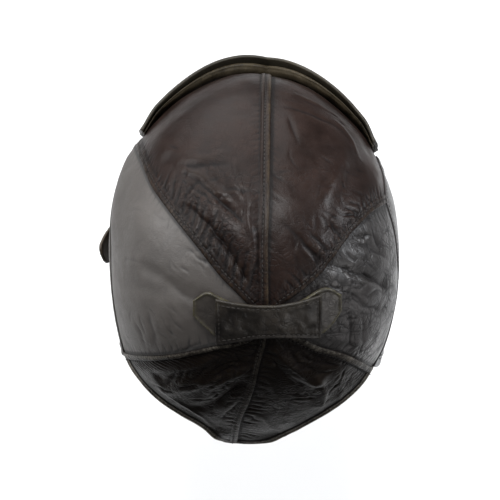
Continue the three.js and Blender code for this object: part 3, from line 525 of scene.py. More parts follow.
def nearest_on_path(points: Array, path: Array) -> tuple[Array, Array]:
    """Finds how far points are from a path and where along it.

    Args:
        points: Points, one a row.
        path: The path's points, one a row.

    Returns:
        The distances and the shares along the path.
    """
    best = np.full(len(points), np.inf)
    share = np.zeros(len(points))
    count = len(path) - 1
    for k in range(count):
        step = path[k + 1] - path[k]
        part = np.clip((points - path[k]) @ step / (step @ step), 0.0, 1.0)
        gap = np.linalg.norm(points - path[k] - part[:, None] * step, axis=1)
        nearer = gap < best
        best = np.where(nearer, gap, best)
        share = np.where(nearer, (k + part) / count, share)
    return best, share


@dataclass
class Relief:
    """Heights of the leather over the form: sunk seams, folds and soft waves."""

    form: CrownForm
    seams: Sequence[Span]
    hub: Array
    sink: float = 0.8
    sink_reach: float = 9.0
    wave_height: float = 0.55
    crumple_height: float = 0.16

    def __post_init__(self) -> None:
        """Reads the seam and fold paths."""
        self.sunk = [span.at(np.linspace(0, 1, 25)) for span in self.seams]
        self.main = [(self._path(fold), fold) for fold in MAIN_FOLDS]
        self.fine_paths = [(self._path(fold), fold) for fold in FINE_FOLDS]
        self.creases = []
        for zone in CREASE_ZONES:
            self.creases += [(path, rise, zone.width) for path, rise in zone.paths(self.form)]
        self.noise = SoftNoise(11)

    def _path(self, fold: Fold) -> Array:
        """Gives a fold's path on the form."""
        line = FormLine.on(self.form, (fold.start, fold.middle, fold.end))
        return line.between().at(np.linspace(0, 1, 9))

    def _crease(self, points: Array, path: Array, rise: float, width: float) -> Array:
        """Gives one small crease with its soft shoulders."""
        made = np.zeros(len(points))
        close = np.linalg.norm(points - path[3], axis=1) < np.linalg.norm(path[6] - path[0]) / 2 + 5.0 * width
        if close.any():
            gap, share = nearest_on_path(points[close], path)
            valley = np.exp(1.0 - np.sqrt(1.0 + 3.0 * (gap / width) ** 2))
            valley = valley - 0.42 * bell(gap, 2.6 * width)
            made[close] = rise * valley * np.sin(np.pi * np.clip(share, 0.02, 0.98))
        return made

    def base(self, d: Array) -> Array:
        """Gives the heights that the solids have too.

        Args:
            d: Unit directions from the form's centre.

        Returns:
            Heights in millimetres.
        """
        points = self.form.surface(d).reshape(-1, 3)
        height = np.zeros(len(points))
        for path in self.sunk:
            gap, _ = nearest_on_path(points, path)
            height = np.minimum(height, -self.sink * bell(gap, self.sink_reach))
        for path, fold in self.main:
            gap, _ = nearest_on_path(points, path)
            height += fold.height * bell(gap, fold.width)
        return height.reshape(d.shape[:-1])

    def fine(self, d: Array) -> Array:
        """Gives the heights of the small folds and waves.

        Args:
            d: Unit directions from the form's centre.

        Returns:
            Heights in millimetres.
        """
        points = self.form.surface(d).reshape(-1, 3)
        wobble = np.stack([self.noise.at(points + shift, 9.0) for shift in (0.0, 40.0, 80.0)], axis=-1)
        bent = points + 1.3 * wobble
        height = np.zeros(len(points))
        for path, fold in self.fine_paths:
            gap, share = nearest_on_path(bent, path)
            strength = fold.height * np.sin(np.pi * np.clip(share, 0.04, 0.96)) ** 0.6
            if fold.crease is Crease.SHARP:
                height += strength * np.exp(1.0 - np.sqrt(1.0 + (gap / fold.width) ** 2 * 3.0))
            else:
                height += strength * bell(gap, fold.width)
        for path, rise, width in self.creases:
            height += self._crease(bent, path, rise, width)
        height += self.wave_height * self.noise.at(points, 26.0)
        height += self.crumple_height * self.noise.at(points + 100.0, 7.5)
        from_hub = np.linalg.norm((points - self.hub) / np.array([44.0, 20.0, 20.0]), axis=1)
        clear = smoothstep(from_hub, 0.75, 1.15)
        height *= clear
        return height.reshape(d.shape[:-1])


@dataclass(frozen=True)
class Gather:
    """Small transverse puckers beside a seam."""

    pitch: float
    height: float
    reach: float
    offset: float = 0.0
    lean: float = 0.0
    start: float = 0.0
    end: float = 1.0
    seed: int = 1

    def laid(self, along: Array, away: Array, share: Array) -> tuple[Array, Array]:
        """Gives where the puckers stand and how strong they are.

        Args:
            along: Distances along the seam.
            away: Distances from the seam.
            share: Shares along the seam.

        Returns:
            The wave, 1 on a pucker and 0 in a notch, and its strength.
        """
        noise = SoftNoise(self.seed, 16)
        spread = np.stack([along, away * 0.4, np.zeros_like(along)], axis=-1)
        phase = (along + self.lean * away) / self.pitch + 0.55 * noise.at(spread, self.pitch * 1.9)
        vary = 0.65 + 0.6 * noise.at(spread + 50.0, self.pitch * 2.7)
        window = smoothstep(share, self.start, self.start + 0.08)
        window = window * (1.0 - smoothstep(share, self.end - 0.08, self.end))
        band = bell(away - self.offset, self.reach) * smoothstep(away, 0.2, 3.0)
        return np.abs(np.sin(np.pi * phase)), vary * window * band

    def lift(self, along: Array, away: Array, share: Array) -> Array:
        """Gives the puckers' heights from the same places."""
        wave, strength = self.laid(along, away, share)
        return self.height * (wave**0.75 - 0.6) * strength

    def notch(self, along: Array, away: Array, share: Array) -> Array:
        """Gives the painted shade in the notches between the puckers."""
        wave, strength = self.laid(along, away, share)
        return 1.6 * min(self.height, 1.0) * (1.0 - wave) ** 3 * np.clip(strength, 0.0, 1.0)


@dataclass(frozen=True)
class Lap:
    """A folded edge that laps over the next panel and is stitched down."""

    width: float = 3.4
    rise: float = 0.75
    stitch: float = 2.0
    groove: float = 0.5
    overlap: float = 0.9
    pitch: float = 2.7
    rub: float = 0.10
    turn: float = 1.2

    def rubbed(self, away: Array) -> Array:
        """Gives where the folded edge takes the lighter colour, by distance in from the seam: wear, and on the
        back panels painted light on the ridge.
        """
        return self.rub * bell(away + self.overlap - 1.1, 1.3)

    def lift(self, away: Array, along: Array) -> Array:
        """Gives the lap's height over the leather.

        Args:
            away: Distances in from the seam, negative past it.
            along: Distances along the seam.

        Returns:
            Heights in millimetres.
        """
        edge = np.clip((away + self.overlap) / self.turn, 0.0, 1.0)
        rounded = 0.3 + (self.rise - 0.3) * np.sqrt(np.clip(1.0 - (1.0 - edge) ** 2, 0.0, 1.0))
        top = rounded * (1.0 - smoothstep(away, self.width - 0.8, self.width + 1.4))
        pulled = 0.75 + 0.25 * np.cos(2.0 * np.pi * along / self.pitch)
        return top - self.groove * pulled * bell(away - self.stitch, 0.75)

    def underside(self, away: Array, leather: float) -> Array:
        """Gives the underside's offset, which rises over the next panel."""
        return 0.12 - (leather + 0.12) * smoothstep(away, 0.2, 1.5)


@dataclass(frozen=True)
class Hem:
    """A turned free edge with a bead and a stitched line."""

    width: float = 7.0
    rise: float = 0.8
    bead: float = 0.6
    stitch: float = 4.6

    def rubbed(self, away: Array) -> Array:
        """Gives where the turned edge takes the lighter colour, in lines along it: wear, and on the back
        panels painted light on the hem.
        """
        lines = 0.55 + 0.45 * np.cos(away * 2.9)
        return 0.9 * lines * (1.0 - smoothstep(away, self.width - 2.0, self.width + 0.5))

    def lift(self, away: Array) -> Array:
        """Gives the hem's height by distance from the free edge."""
        flat = self.rise * (1.0 - smoothstep(away, self.width - 0.8, self.width + 1.2))
        bead = self.bead * bell(away - 1.6, 1.3)
        return flat + bead - 0.5 * bell(away - self.stitch, 0.7)


def rounding(away: Array, radius: Array | float) -> Array:
    """Gives how far a face drops near a free edge so that the edge is round."""
    share = np.clip(away / radius, 0.0, 1.0)
    return 0.92 * radius * (1.0 - np.sqrt(np.clip(1.0 - (1.0 - share) ** 2, 0.0, 1.0)))


EDGE_MARKS = np.array([0.0, 0.2, 0.45, 0.75, 1.1, 1.5, 1.9, 2.3, 2.8, 3.4, 4.1, 4.9])


def spread(width: Array, count: int, near: float, far: float) -> Array:
    """Spreads places across strips, denser beside both edges.

    Args:
        width: Widths of the strips.
        count: Number of even steps in the middle.
        near: Where the near edge lies, from the seam.
        far: Where the far edge lies, from its seam.

    Returns:
        Shares across, a row for each width.
    """
    size = len(EDGE_MARKS)
    limit = 0.42 * (np.arange(size) + 1) / size
    first = np.minimum((EDGE_MARKS + near) / width[:, None], limit)
    last = 1.0 - np.minimum((EDGE_MARKS + far) / width[:, None], limit)[:, ::-1]
    steps = np.linspace(0, 1, count + 1)[1:-1]
    middle = first[:, -1:] + (last[:, :1] - first[:, -1:]) * steps
    return np.hstack([first, middle, last])


def blurred(values: Array, reach: int) -> Array:
    """Averages a grid over its neighbours.

    Args:
        values: The grid.
        reach: Cells to each side.

    Returns:
        The smoothed grid.
    """
    kernel = np.hanning(2 * reach + 3)[1:-1]
    kernel /= kernel.sum()
    padded = np.pad(values, reach, mode="edge")
    rows = np.apply_along_axis(lambda line: np.convolve(line, kernel, "valid"), 0, padded)
    return np.apply_along_axis(lambda line: np.convolve(line, kernel, "valid"), 1, rows)


@dataclass
class Sheet:
    """Two grids of points that close into a thin solid."""

    outer: Array
    inner: Array
    fields: dict[str, Array]

    def mesh(self, name: str, outside: Material, inside: Material) -> Piece:
        """Builds the closed mesh.

        Args:
            name: The object's name.
            outside: Material of the outer face and the edges.
            inside: Material of the inner face.

        Returns:
            The object.
        """
        rows, columns = self.outer.shape[:2]
        points = np.vstack([self.outer.reshape(-1, 3), self.inner.reshape(-1, 3)])
        shift = rows * columns
        index = np.arange(shift).reshape(rows, columns)
        a, b = index[:-1, :-1].ravel(), index[:-1, 1:].ravel()
        c, d = index[1:, 1:].ravel(), index[1:, :-1].ravel()
        top = np.stack([a, b, c, d], axis=1)
        bottom = np.stack([a, d, c, b], axis=1) + shift
        loop = np.concatenate([index[0, :-1], index[:-1, -1], index[-1, :0:-1], index[:0:-1, 0]])
        after = np.roll(loop, -1)
        border = np.stack([after, loop, loop + shift, after + shift], axis=1)
        faces = np.vstack([top, bottom, border])
        slots = np.repeat([0, 1, 0], [len(top), len(bottom), len(border)])
        values = {key: np.concatenate([grid.ravel(), grid.ravel() * 0.5]) for key, grid in self.fields.items()}
        return closed_mesh(name, points, faces, (outside, inside), slots, values)


def signed_volume(points: Array, faces: Array) -> float:
    """Gives six times the volume that quads enclose, negative when they face inwards."""
    a, b, c, d = (points[faces[:, k]] for k in range(4))
    first = np.einsum("ij,ij->i", a, np.cross(b, c))
    return float(np.sum(first + np.einsum("ij,ij->i", a, np.cross(c, d))))


def closed_mesh(
    name: str,
    points: Array,
    faces: Array,
    materials: Sequence[Material],
    slots: Array | None = None,
    values: dict[str, Array] | None = None,
) -> Piece:
    """Makes an object from points in millimetres, faces outwards.

    Args:
        name: The object's name.
        points: Points, one a row.
        faces: Quads of point numbers.
        materials: The materials in slot order.
        slots: The slot of each face.
        values: Point attributes by name.

    Returns:
        The object.
    """
    if signed_volume(points - points.mean(axis=0), faces) < 0:
        faces = faces[:, ::-1]
    mesh = bpy.data.meshes.new(name)
    mesh.from_pydata((points * MM).tolist(), [], faces.tolist())
    for material in materials:
        mesh.materials.append(material)
    mesh.polygons.foreach_set("use_smooth", np.ones(len(faces), dtype=bool))
    if slots is not None:
        mesh.polygons.foreach_set("material_index", slots.astype(np.int32))
    for key, data in (values or {}).items():
        layer = mesh.attributes.new(key, "FLOAT", "POINT")
        layer.data.foreach_set("value", data.astype(np.float32))
    mesh.update()
    piece = bpy.data.objects.new(name, mesh)
    bpy.context.scene.collection.objects.link(piece)
    return piece


@dataclass(frozen=True)
class Hide:
    """A worn leather finish with painted shade, whose lighter colour is wear and, on the back hide, painted
    light.
    """

    name: str
    deep: Row
    middle: Row
    rubbed: Row
    roughness: float
    gloss: float = 0.5
    coat: float = 0.08
    grain: float = 0.60
    crackle_size: float = 3.4
    blotch: float = 0.5

    def material(self) -> Material:
        """Builds the node material.

        Returns:
            The material.
        """
        board = NodeBoard(self.name)
        place = board.object_coordinates()
        broad = board.noise(place, 1.0 / (34 * MM), 3.0, 0.55)
        patch = board.noise(place, 1.0 / (9 * MM), 4.0, 0.6)
        fine = board.noise(place, 1.0 / (1.1 * MM), 3.0, 0.6)
        warp = board.mixed_vector(place, board.noise_colour(place, 1.0 / (7 * MM)), 2.0 * MM)
        cells = board.cell_edges(warp, 1.0 / (self.crackle_size * MM))
        lines = board.ramp(cells, ((0.0, 1.0), (0.05, 0.45), (0.16, 0.0)))
        wide = board.cell_edges(warp, 0.42 / (self.crackle_size * MM))
        wide = board.ramp(wide, ((0.0, 1.0), (0.045, 0.6), (0.12, 0.0)))
        small = board.cell_edges(place, 1.0 / (0.8 * MM))
        mask = board.ramp(board.noise(place, 1.0 / (17 * MM), 2.0, 0.5), ((0.40, 0.1), (0.58, 1.0)))
        cracks = board.scaled(board.scaled(board.maximum(lines, wide), mask), board.attribute("crackle"))
        seam_place = board.seam_place(3.0, 10.0, board.centred(patch))
        ticks = board.ramp(board.cell_edges(seam_place, 1.0), ((0.0, 1.0), (0.06, 0.5), (0.2, 0.0)))
        ticks = board.scaled(ticks, board.attribute("pucker"))
        cracks_and_crease_shade = board.clamped(board.maximum(cracks, ticks))
        wear = board.attribute("wear")
        shade = board.attribute("shade")
        tone = board.add(board.scaled(broad, 0.6), board.scaled(patch, 0.4))
        tone = board.ramp(tone, ((0.36, 0.0), (0.64, 1.0)))
        colour = board.mix(board.scaled(tone, self.blotch), self.deep, self.middle)
        patchy = board.add(board.scaled(patch, 0.45), board.scaled(fine, 0.55))
        # The lighter colour is wear, and on the back hide it paints light.
        rub = board.scaled(wear, board.ramp(patchy, ((0.40, 0.1), (0.60, 1.0))))
        colour = board.mix(board.clamped(rub), colour, self.rubbed)
        # Painted shade: the colour darkens in hollows, notches and shadow lines, and along the crack and
        # crease lines, which are partly the finish's own cracks and partly painted shade.
        colour = board.darken(colour, board.clamped(board.add(shade, cracks_and_crease_shade)), 0.88)
        rough = board.add(self.roughness, board.scaled(board.centred(patch), 0.30))
        rough = board.add(rough, board.scaled(board.centred(fine), 0.14))
        rough = board.add(rough, board.scaled(board.maximum(shade, cracks_and_crease_shade), 0.25))
        height = board.add(board.scaled(cracks_and_crease_shade, -0.7), board.scaled(fine, 0.45 * self.grain))
        height = board.add(height, board.scaled(small, 0.35 * self.grain))
        height = board.add(height, board.scaled(patch, 0.45))
        shader = board.shader(colour, board.clamped(rough), board.bump(height, 0.7, 0.5 * MM))
        shader.inputs["Specular IOR Level"].default_value = self.gloss
        shader.inputs["Coat Weight"].default_value = self.coat
        shader.inputs["Coat Roughness"].default_value = 0.32
        return board.material


@dataclass(frozen=True)
class Metal:
    """A dull old metal finish."""

    name: str
    bright: Row
    dull: Row
    roughness: float

    def material(self) -> Material:
        """Builds the node material.

        Returns:
            The material.
        """
        board = NodeBoard(self.name)
        place = board.object_coordinates()
        stain = board.noise(place, 1.0 / (4 * MM), 4.0, 0.6)
        fine = board.noise(place, 1.0 / (0.6 * MM), 3.0, 0.6)
        colour = board.mix(board.ramp(stain, ((0.35, 0.0), (0.65, 1.0))), self.bright, self.dull)
        rough = board.clamped(board.add(self.roughness, board.scaled(board.centred(stain), 0.35)))
        shader = board.shader(colour, rough, board.bump(fine, 0.15, 0.1 * MM))
        shader.inputs["Metallic"].default_value = 1.0
        return board.material


@dataclass(frozen=True)
class Thread:
    """A twisted sewing thread."""

    name: str
    dark: Row
    light: Row

    def material(self) -> Material:
        """Builds the node material.

        Returns:
            The material.
        """
        board = NodeBoard(self.name)
        place = board.object_coordinates()
        twist = board.noise(place, 1.0 / (0.5 * MM), 2.0, 0.6)
        age = board.noise(place, 1.0 / (14 * MM), 2.0, 0.5)
        tone = board.clamped(board.add(board.scaled(twist, 0.5), board.scaled(age, 0.4)))
        colour = board.mix(tone, self.dark, self.light)
        rough = board.clamped(board.add(0.55, board.scaled(twist, 0.3)))
        board.shader(colour, rough, board.bump(twist, 0.3, 0.1 * MM))
        return board.material


class NodeBoard:
    """Builds one material's node tree from named steps."""

    def __init__(self, name: str) -> None:
        """Makes an empty node material.

        Args:
            name: The material's name.
        """
        self.material = bpy.data.materials.new(name)
        self.material.use_nodes = True
        self.tree = self.material.node_tree
        self.tree.nodes.clear()

    def node(self, kind: str, **settings: object) -> bpy.types.Node:
        """Adds a node and sets its properties."""
        made = self.tree.nodes.new(kind)
        for key, value in settings.items():
            setattr(made, key, value)
        return made

    def plug(self, source: object, target: Socket) -> None:
        """Links a socket, or sets a plain value, on a target socket.

        Args:
            source: A socket, a number or a colour.
            target: The socket that takes it.
        """
        if isinstance(source, Socket):
            self.tree.links.new(source, target)
        elif isinstance(source, tuple):
            target.default_value = (*source, 1.0)
        else:
            target.default_value = source

    def object_coordinates(self) -> Socket:
        """Gives the object coordinates."""
        return self.node("ShaderNodeTexCoord").outputs["Object"]

    def attribute(self, name: str) -> Socket:
        """Reads a point attribute."""
        return self.node("ShaderNodeAttribute", attribute_name=name).outputs["Fac"]

    def noise(self, place: object, scale: float, detail: float, rough: float) -> Socket:
        """Adds a noise texture and gives its value."""
        made = self.node("ShaderNodeTexNoise")
        self.plug(place, made.inputs["Vector"])
        made.inputs["Scale"].default_value = scale
        made.inputs["Detail"].default_value = detail
        made.inputs["Roughness"].default_value = rough
        return made.outputs["Fac"]

    def noise_colour(self, place: object, scale: float) -> Socket:
        """Adds a noise texture and gives its colour, for bending other patterns."""
        made = self.node("ShaderNodeTexNoise")
        self.plug(place, made.inputs["Vector"])
        made.inputs["Scale"].default_value = scale
        return made.outputs["Color"]

    def mixed_vector(self, place: object, push: object, amount: float) -> Socket:
        """Shifts coordinates by a pushed vector."""
        made = self.node("ShaderNodeVectorMath", operation="MULTIPLY_ADD")
        self.plug(push, made.inputs[0])
        made.inputs[1].default_value = (amount, amount, amount)
        self.plug(place, made.inputs[2])
        return made.outputs[0]

    def cell_edges(self, place: object, scale: float) -> Socket:
        """Gives the distance to the nearest cell edge."""
        made = self.node("ShaderNodeTexVoronoi", feature="DISTANCE_TO_EDGE")
        self.plug(place, made.inputs["Vector"])
        made.inputs["Scale"].default_value = scale
        return made.outputs["Distance"]

    def seam_place(self, along: float, across: float, push: object) -> Socket:
        """Gives coordinates along and away from the nearest seam.

        Args:
            along: Length of a cell along the seam, in millimetres.
            across: Its length away from it.
            push: A value that bends the cells.

        Returns:
            The coordinates in cells.
        """
        made = self.node("ShaderNodeCombineXYZ")
        run = self.add(self.scaled(self.attribute("run"), 1.0 / along), self.scaled(push, 1.6))
        self.plug(run, made.inputs["X"])
        self.plug(self.scaled(self.attribute("off"), 1.0 / across), made.inputs["Y"])
        return made.outputs[0]

    def ramp(self, source: object, stops: Sequence[tuple[float, float]]) -> Socket:
        """Maps a value through grey stops."""
        made = self.node("ShaderNodeValToRGB")
        ramp = made.color_ramp
        while len(ramp.elements) < len(stops):
            ramp.elements.new(0.5)
        for element, (where, grey) in zip(ramp.elements, stops):
            element.position = where
            element.color = (grey, grey, grey, 1.0)
        self.plug(source, made.inputs[0])
        return made.outputs[0]

    def maths(self, operation: str, first: object, second: object = 0.0, clamp: bool = False) -> Socket:
        """Adds a maths node."""
        made = self.node("ShaderNodeMath", operation=operation, use_clamp=clamp)
        self.plug(first, made.inputs[0])
        self.plug(second, made.inputs[1])
        return made.outputs[0]

    def add(self, first: object, second: object) -> Socket:
        """Adds two values."""
        return self.maths("ADD", first, second)

    def maximum(self, first: object, second: object) -> Socket:
        """Gives the larger of two values."""
        return self.maths("MAXIMUM", first, second)

    def scaled(self, source: object, factor: object) -> Socket:
        """Scales a value by a number or by another value."""
        return self.maths("MULTIPLY", source, factor)

    def centred(self, source: object) -> Socket:
        """Moves a value from around a half to around zero."""
        return self.maths("SUBTRACT", source, 0.5)

    def clamped(self, source: object) -> Socket:
        """Keeps a value between 0 and 1."""
        return self.maths("ADD", source, 0.0, clamp=True)

    def mix(self, factor: object, first: object, second: object) -> Socket:
        """Mixes two colours."""
        made = self.node("ShaderNodeMix", data_type="RGBA")
        self.plug(factor, made.inputs["Factor"])
        self.plug(first, made.inputs[6])
        self.plug(second, made.inputs[7])
        return made.outputs[2]

    def darken(self, colour: object, factor: object, amount: float) -> Socket:
        """Mixes a colour towards black."""
        return self.mix(self.scaled(factor, amount), colour, (0.004, 0.003, 0.003))

    def bump(self, height: object, strength: float, distance: float) -> Socket:
        """Adds a bump node."""
        made = self.node("ShaderNodeBump")
        made.inputs["Strength"].default_value = strength
        made.inputs["Distance"].default_value = distance
        self.plug(height, made.inputs["Height"])
        return made.outputs["Normal"]

    def shader(self, colour: object, rough: object, normal: object) -> bpy.types.Node:
        """Ends the tree in a shader.

        Args:
            colour: Base colour.
            rough: Roughness.
            normal: Bumped normal.

        Returns:
            The shader node.
        """
        made = self.node("ShaderNodeBsdfPrincipled")
        self.plug(colour, made.inputs["Base Color"])
        self.plug(rough, made.inputs["Roughness"])
        self.plug(normal, made.inputs["Normal"])
        output = self.node("ShaderNodeOutputMaterial")
        self.tree.links.new(made.outputs[0], output.inputs[0])
        return made


class Finishes:
    """All finishes of the helmet as materials."""

    def __init__(self) -> None:
        """Builds the materials."""
        self.front = Hide(
            "front_hide", (0.0085, 0.0048, 0.0039), (0.029, 0.0165, 0.0132), (0.105, 0.078, 0.038),
            0.36, gloss=0.11, coat=0.05,
        ).material()
        self.side = Hide(
            "side_hide", (0.036, 0.0305, 0.027), (0.066, 0.057, 0.051), (0.10, 0.085, 0.065),
            0.58, gloss=0.80, coat=0.0,
            crackle_size=4.2,
        ).material()
        # A copy of the side leather for the right side, whose colours paint the light there: a lighter middle
        # colour for its sheen and a darker deep colour for its shade.
        self.side_right = Hide(
            "side_right_hide", (0.018, 0.0165, 0.016), (0.074, 0.068, 0.067), (0.07, 0.06, 0.045),
            0.32, gloss=0.26,
            crackle_size=4.0,
        ).material()
        # The back hide's deep and middle colours are near black, partly painted shade on panels that face away
        # from the light, and its very light third colour paints light on the hem, the lapped ridges and the
        # fold crests.
        self.back = Hide(
            "back_hide", (0.0030, 0.0020, 0.0014), (0.0125, 0.0086, 0.0060), (0.34, 0.31, 0.26),
            0.30, gloss=0.055, coat=0.0,
        ).material()
        self.roll = Hide(
            "rubbed_hide", (0.013, 0.010, 0.0062), (0.034, 0.0265, 0.017), (0.060, 0.047, 0.028),
            0.50, gloss=0.2, coat=0.0,
        ).material()
        self.cuff = Hide(
            "cuff_hide", (0.012, 0.0102, 0.0072), (0.036, 0.031, 0.0225), (0.060, 0.050, 0.033),
            0.45, gloss=0.25,
        ).material()
        self.strap = Hide(
            "strap_hide", (0.008, 0.0055, 0.004), (0.020, 0.014, 0.010), (0.060, 0.044, 0.028),
            0.42, gloss=0.3,
        ).material()
        self.tab = Hide(
            "tab_hide", (0.003, 0.0023, 0.0018), (0.034, 0.0285, 0.0235), (0.060, 0.050, 0.032),
            0.36, gloss=0.22,
            blotch=0.8,
        ).material()
        self.patch = Hide(
            "patch_hide", (0.018, 0.0155, 0.0135), (0.066, 0.058, 0.053), (0.050, 0.044, 0.015),
            0.38, gloss=0.30,
        ).material()
        self.flesh = Hide(
            "flesh_side", (0.060, 0.042, 0.028), (0.095, 0.068, 0.046), (0.12, 0.09, 0.06),
            0.85, gloss=0.2, coat=0.0,
        ).material()
        self.thread = Thread("waxed_thread", (0.005, 0.0035, 0.003), (0.020, 0.015, 0.011)).material()
        self.brass = Metal("old_brass", (0.50, 0.38, 0.19), (0.20, 0.15, 0.085), 0.38).material()


@dataclass
class Stitching:
    """Sewn rows as lines on the leather, turned into stitches by one node tree."""

    pitch: float = 2.7
    length: float = 2.0
    radius: float = 0.27
    seed: int = 7
    rows: list[Array] = field(default_factory=list)

    def add(self, points: Array) -> None:
        """Adds one sewn row in millimetres."""
        self.rows.append(points)

    def tree(self, material: Material) -> bpy.types.NodeTree:
        """Builds the node tree that lays a stitch at each step of the lines.

        Args:
            material: The thread.

        Returns:
            The tree.
        """
        tree = bpy.data.node_groups.new("lay_stitches", "GeometryNodeTree")
        face = tree.interface
        face.new_socket("Geometry", in_out="INPUT", socket_type="NodeSocketGeometry")
        for label in ("Pitch", "Stitch length", "Thread radius"):
            face.new_socket(label, in_out="INPUT", socket_type="NodeSocketFloat")
        face.new_socket("Seed", in_out="INPUT", socket_type="NodeSocketInt")
        face.new_socket("Geometry", in_out="OUTPUT", socket_type="NodeSocketGeometry")
        kinds = {
            "given": "NodeGroupInput", "result": "NodeGroupOutput", "curve": "GeometryNodeMeshToCurve",
            "steps": "GeometryNodeCurveToPoints", "bead": "GeometryNodeMeshUVSphere",
            "half": "ShaderNodeMath", "size": "ShaderNodeCombineXYZ", "stretch": "GeometryNodeTransform",
            "turn": "FunctionNodeAlignRotationToVector", "vary": "FunctionNodeRandomValue",
            "lay": "GeometryNodeInstanceOnPoints", "real": "GeometryNodeRealizeInstances",
            "smooth": "GeometryNodeSetShadeSmooth", "dress": "GeometryNodeSetMaterial",
        }
        nodes = {key: tree.nodes.new(kind) for key, kind in kinds.items()}
        nodes["steps"].mode = "LENGTH"
        nodes["half"].operation = "MULTIPLY"
        nodes["turn"].axis = "Z"
        nodes["vary"].data_type = "FLOAT"
        values = (
            ("bead", "Segments", 8), ("bead", "Rings", 6), ("bead", "Radius", 1.0), ("half", 1, 0.5),
            ("vary", 2, 0.86), ("vary", 3, 1.1), ("dress", "Material", material),
        )
        for key, socket, value in values:
            nodes[key].inputs[socket].default_value = value
        links = (
            ("given", "Geometry", "curve", 0), ("curve", 0, "steps", "Curve"),
            ("given", "Pitch", "steps", "Length"), ("given", "Stitch length", "half", 0),
            ("given", "Thread radius", "size", "X"), ("given", "Thread radius", "size", "Y"),
            ("half", 0, "size", "Z"), ("bead", "Mesh", "stretch", "Geometry"),
            ("size", 0, "stretch", "Scale"), ("steps", "Tangent", "turn", "Vector"),
            ("given", "Seed", "vary", "Seed"), ("steps", "Points", "lay", "Points"),
            ("stretch", 0, "lay", "Instance"), ("turn", 0, "lay", "Rotation"),
            ("vary", 1, "lay", "Scale"), ("lay", 0, "real", 0), ("real", 0, "smooth", 0),
            ("smooth", 0, "dress", "Geometry"), ("dress", 0, "result", 0),
        )
        for source, out, target, into in links:
            tree.links.new(nodes[source].outputs[out], nodes[target].inputs[into])
        return tree

    def build(self, material: Material) -> Piece:
        """Lays all the stitches.

        Args:
            material: The thread.

        Returns:
            The stitches as one plain mesh.
        """
        points: list[list[float]] = []
        edges: list[tuple[int, int]] = []
        for row in self.rows:
            first = len(points)
            points.extend((row * MM).tolist())
            edges.extend((first + k, first + k + 1) for k in range(len(row) - 1))
        mesh = bpy.data.meshes.new("sewn_lines")
        mesh.from_pydata(points, edges, [])
        lines = bpy.data.objects.new("sewn_lines", mesh)
        bpy.context.scene.collection.objects.link(lines)
        tree = self.tree(material)
        modifier = lines.modifiers.new("stitches", "NODES")
        modifier.node_group = tree
        lengths = {"Pitch": self.pitch, "Stitch length": self.length, "Thread radius": self.radius}
        sizes = {key: length * MM for key, length in lengths.items()} | {"Seed": self.seed}
        for item in tree.interface.items_tree:
            if item.in_out == "INPUT" and item.name in sizes:
                modifier[item.identifier] = sizes[item.name]
        piece = plain_copy(lines, "thread_stitches")
        bpy.data.objects.remove(lines)
        return piece


def plain_copy(source: Piece, name: str) -> Piece:
    """Turns an object with modifiers into a plain mesh object.

    Args:
        source: The object with its modifiers.
        name: The new object's name.

    Returns:
        The plain object.
    """
    bpy.context.view_layer.update()
    shown = source.evaluated_get(bpy.context.evaluated_depsgraph_get())
    mesh = bpy.data.meshes.new_from_object(shown)
    mesh.name = name
    piece = bpy.data.objects.new(name, mesh)
    bpy.context.scene.collection.objects.link(piece)
    return piece


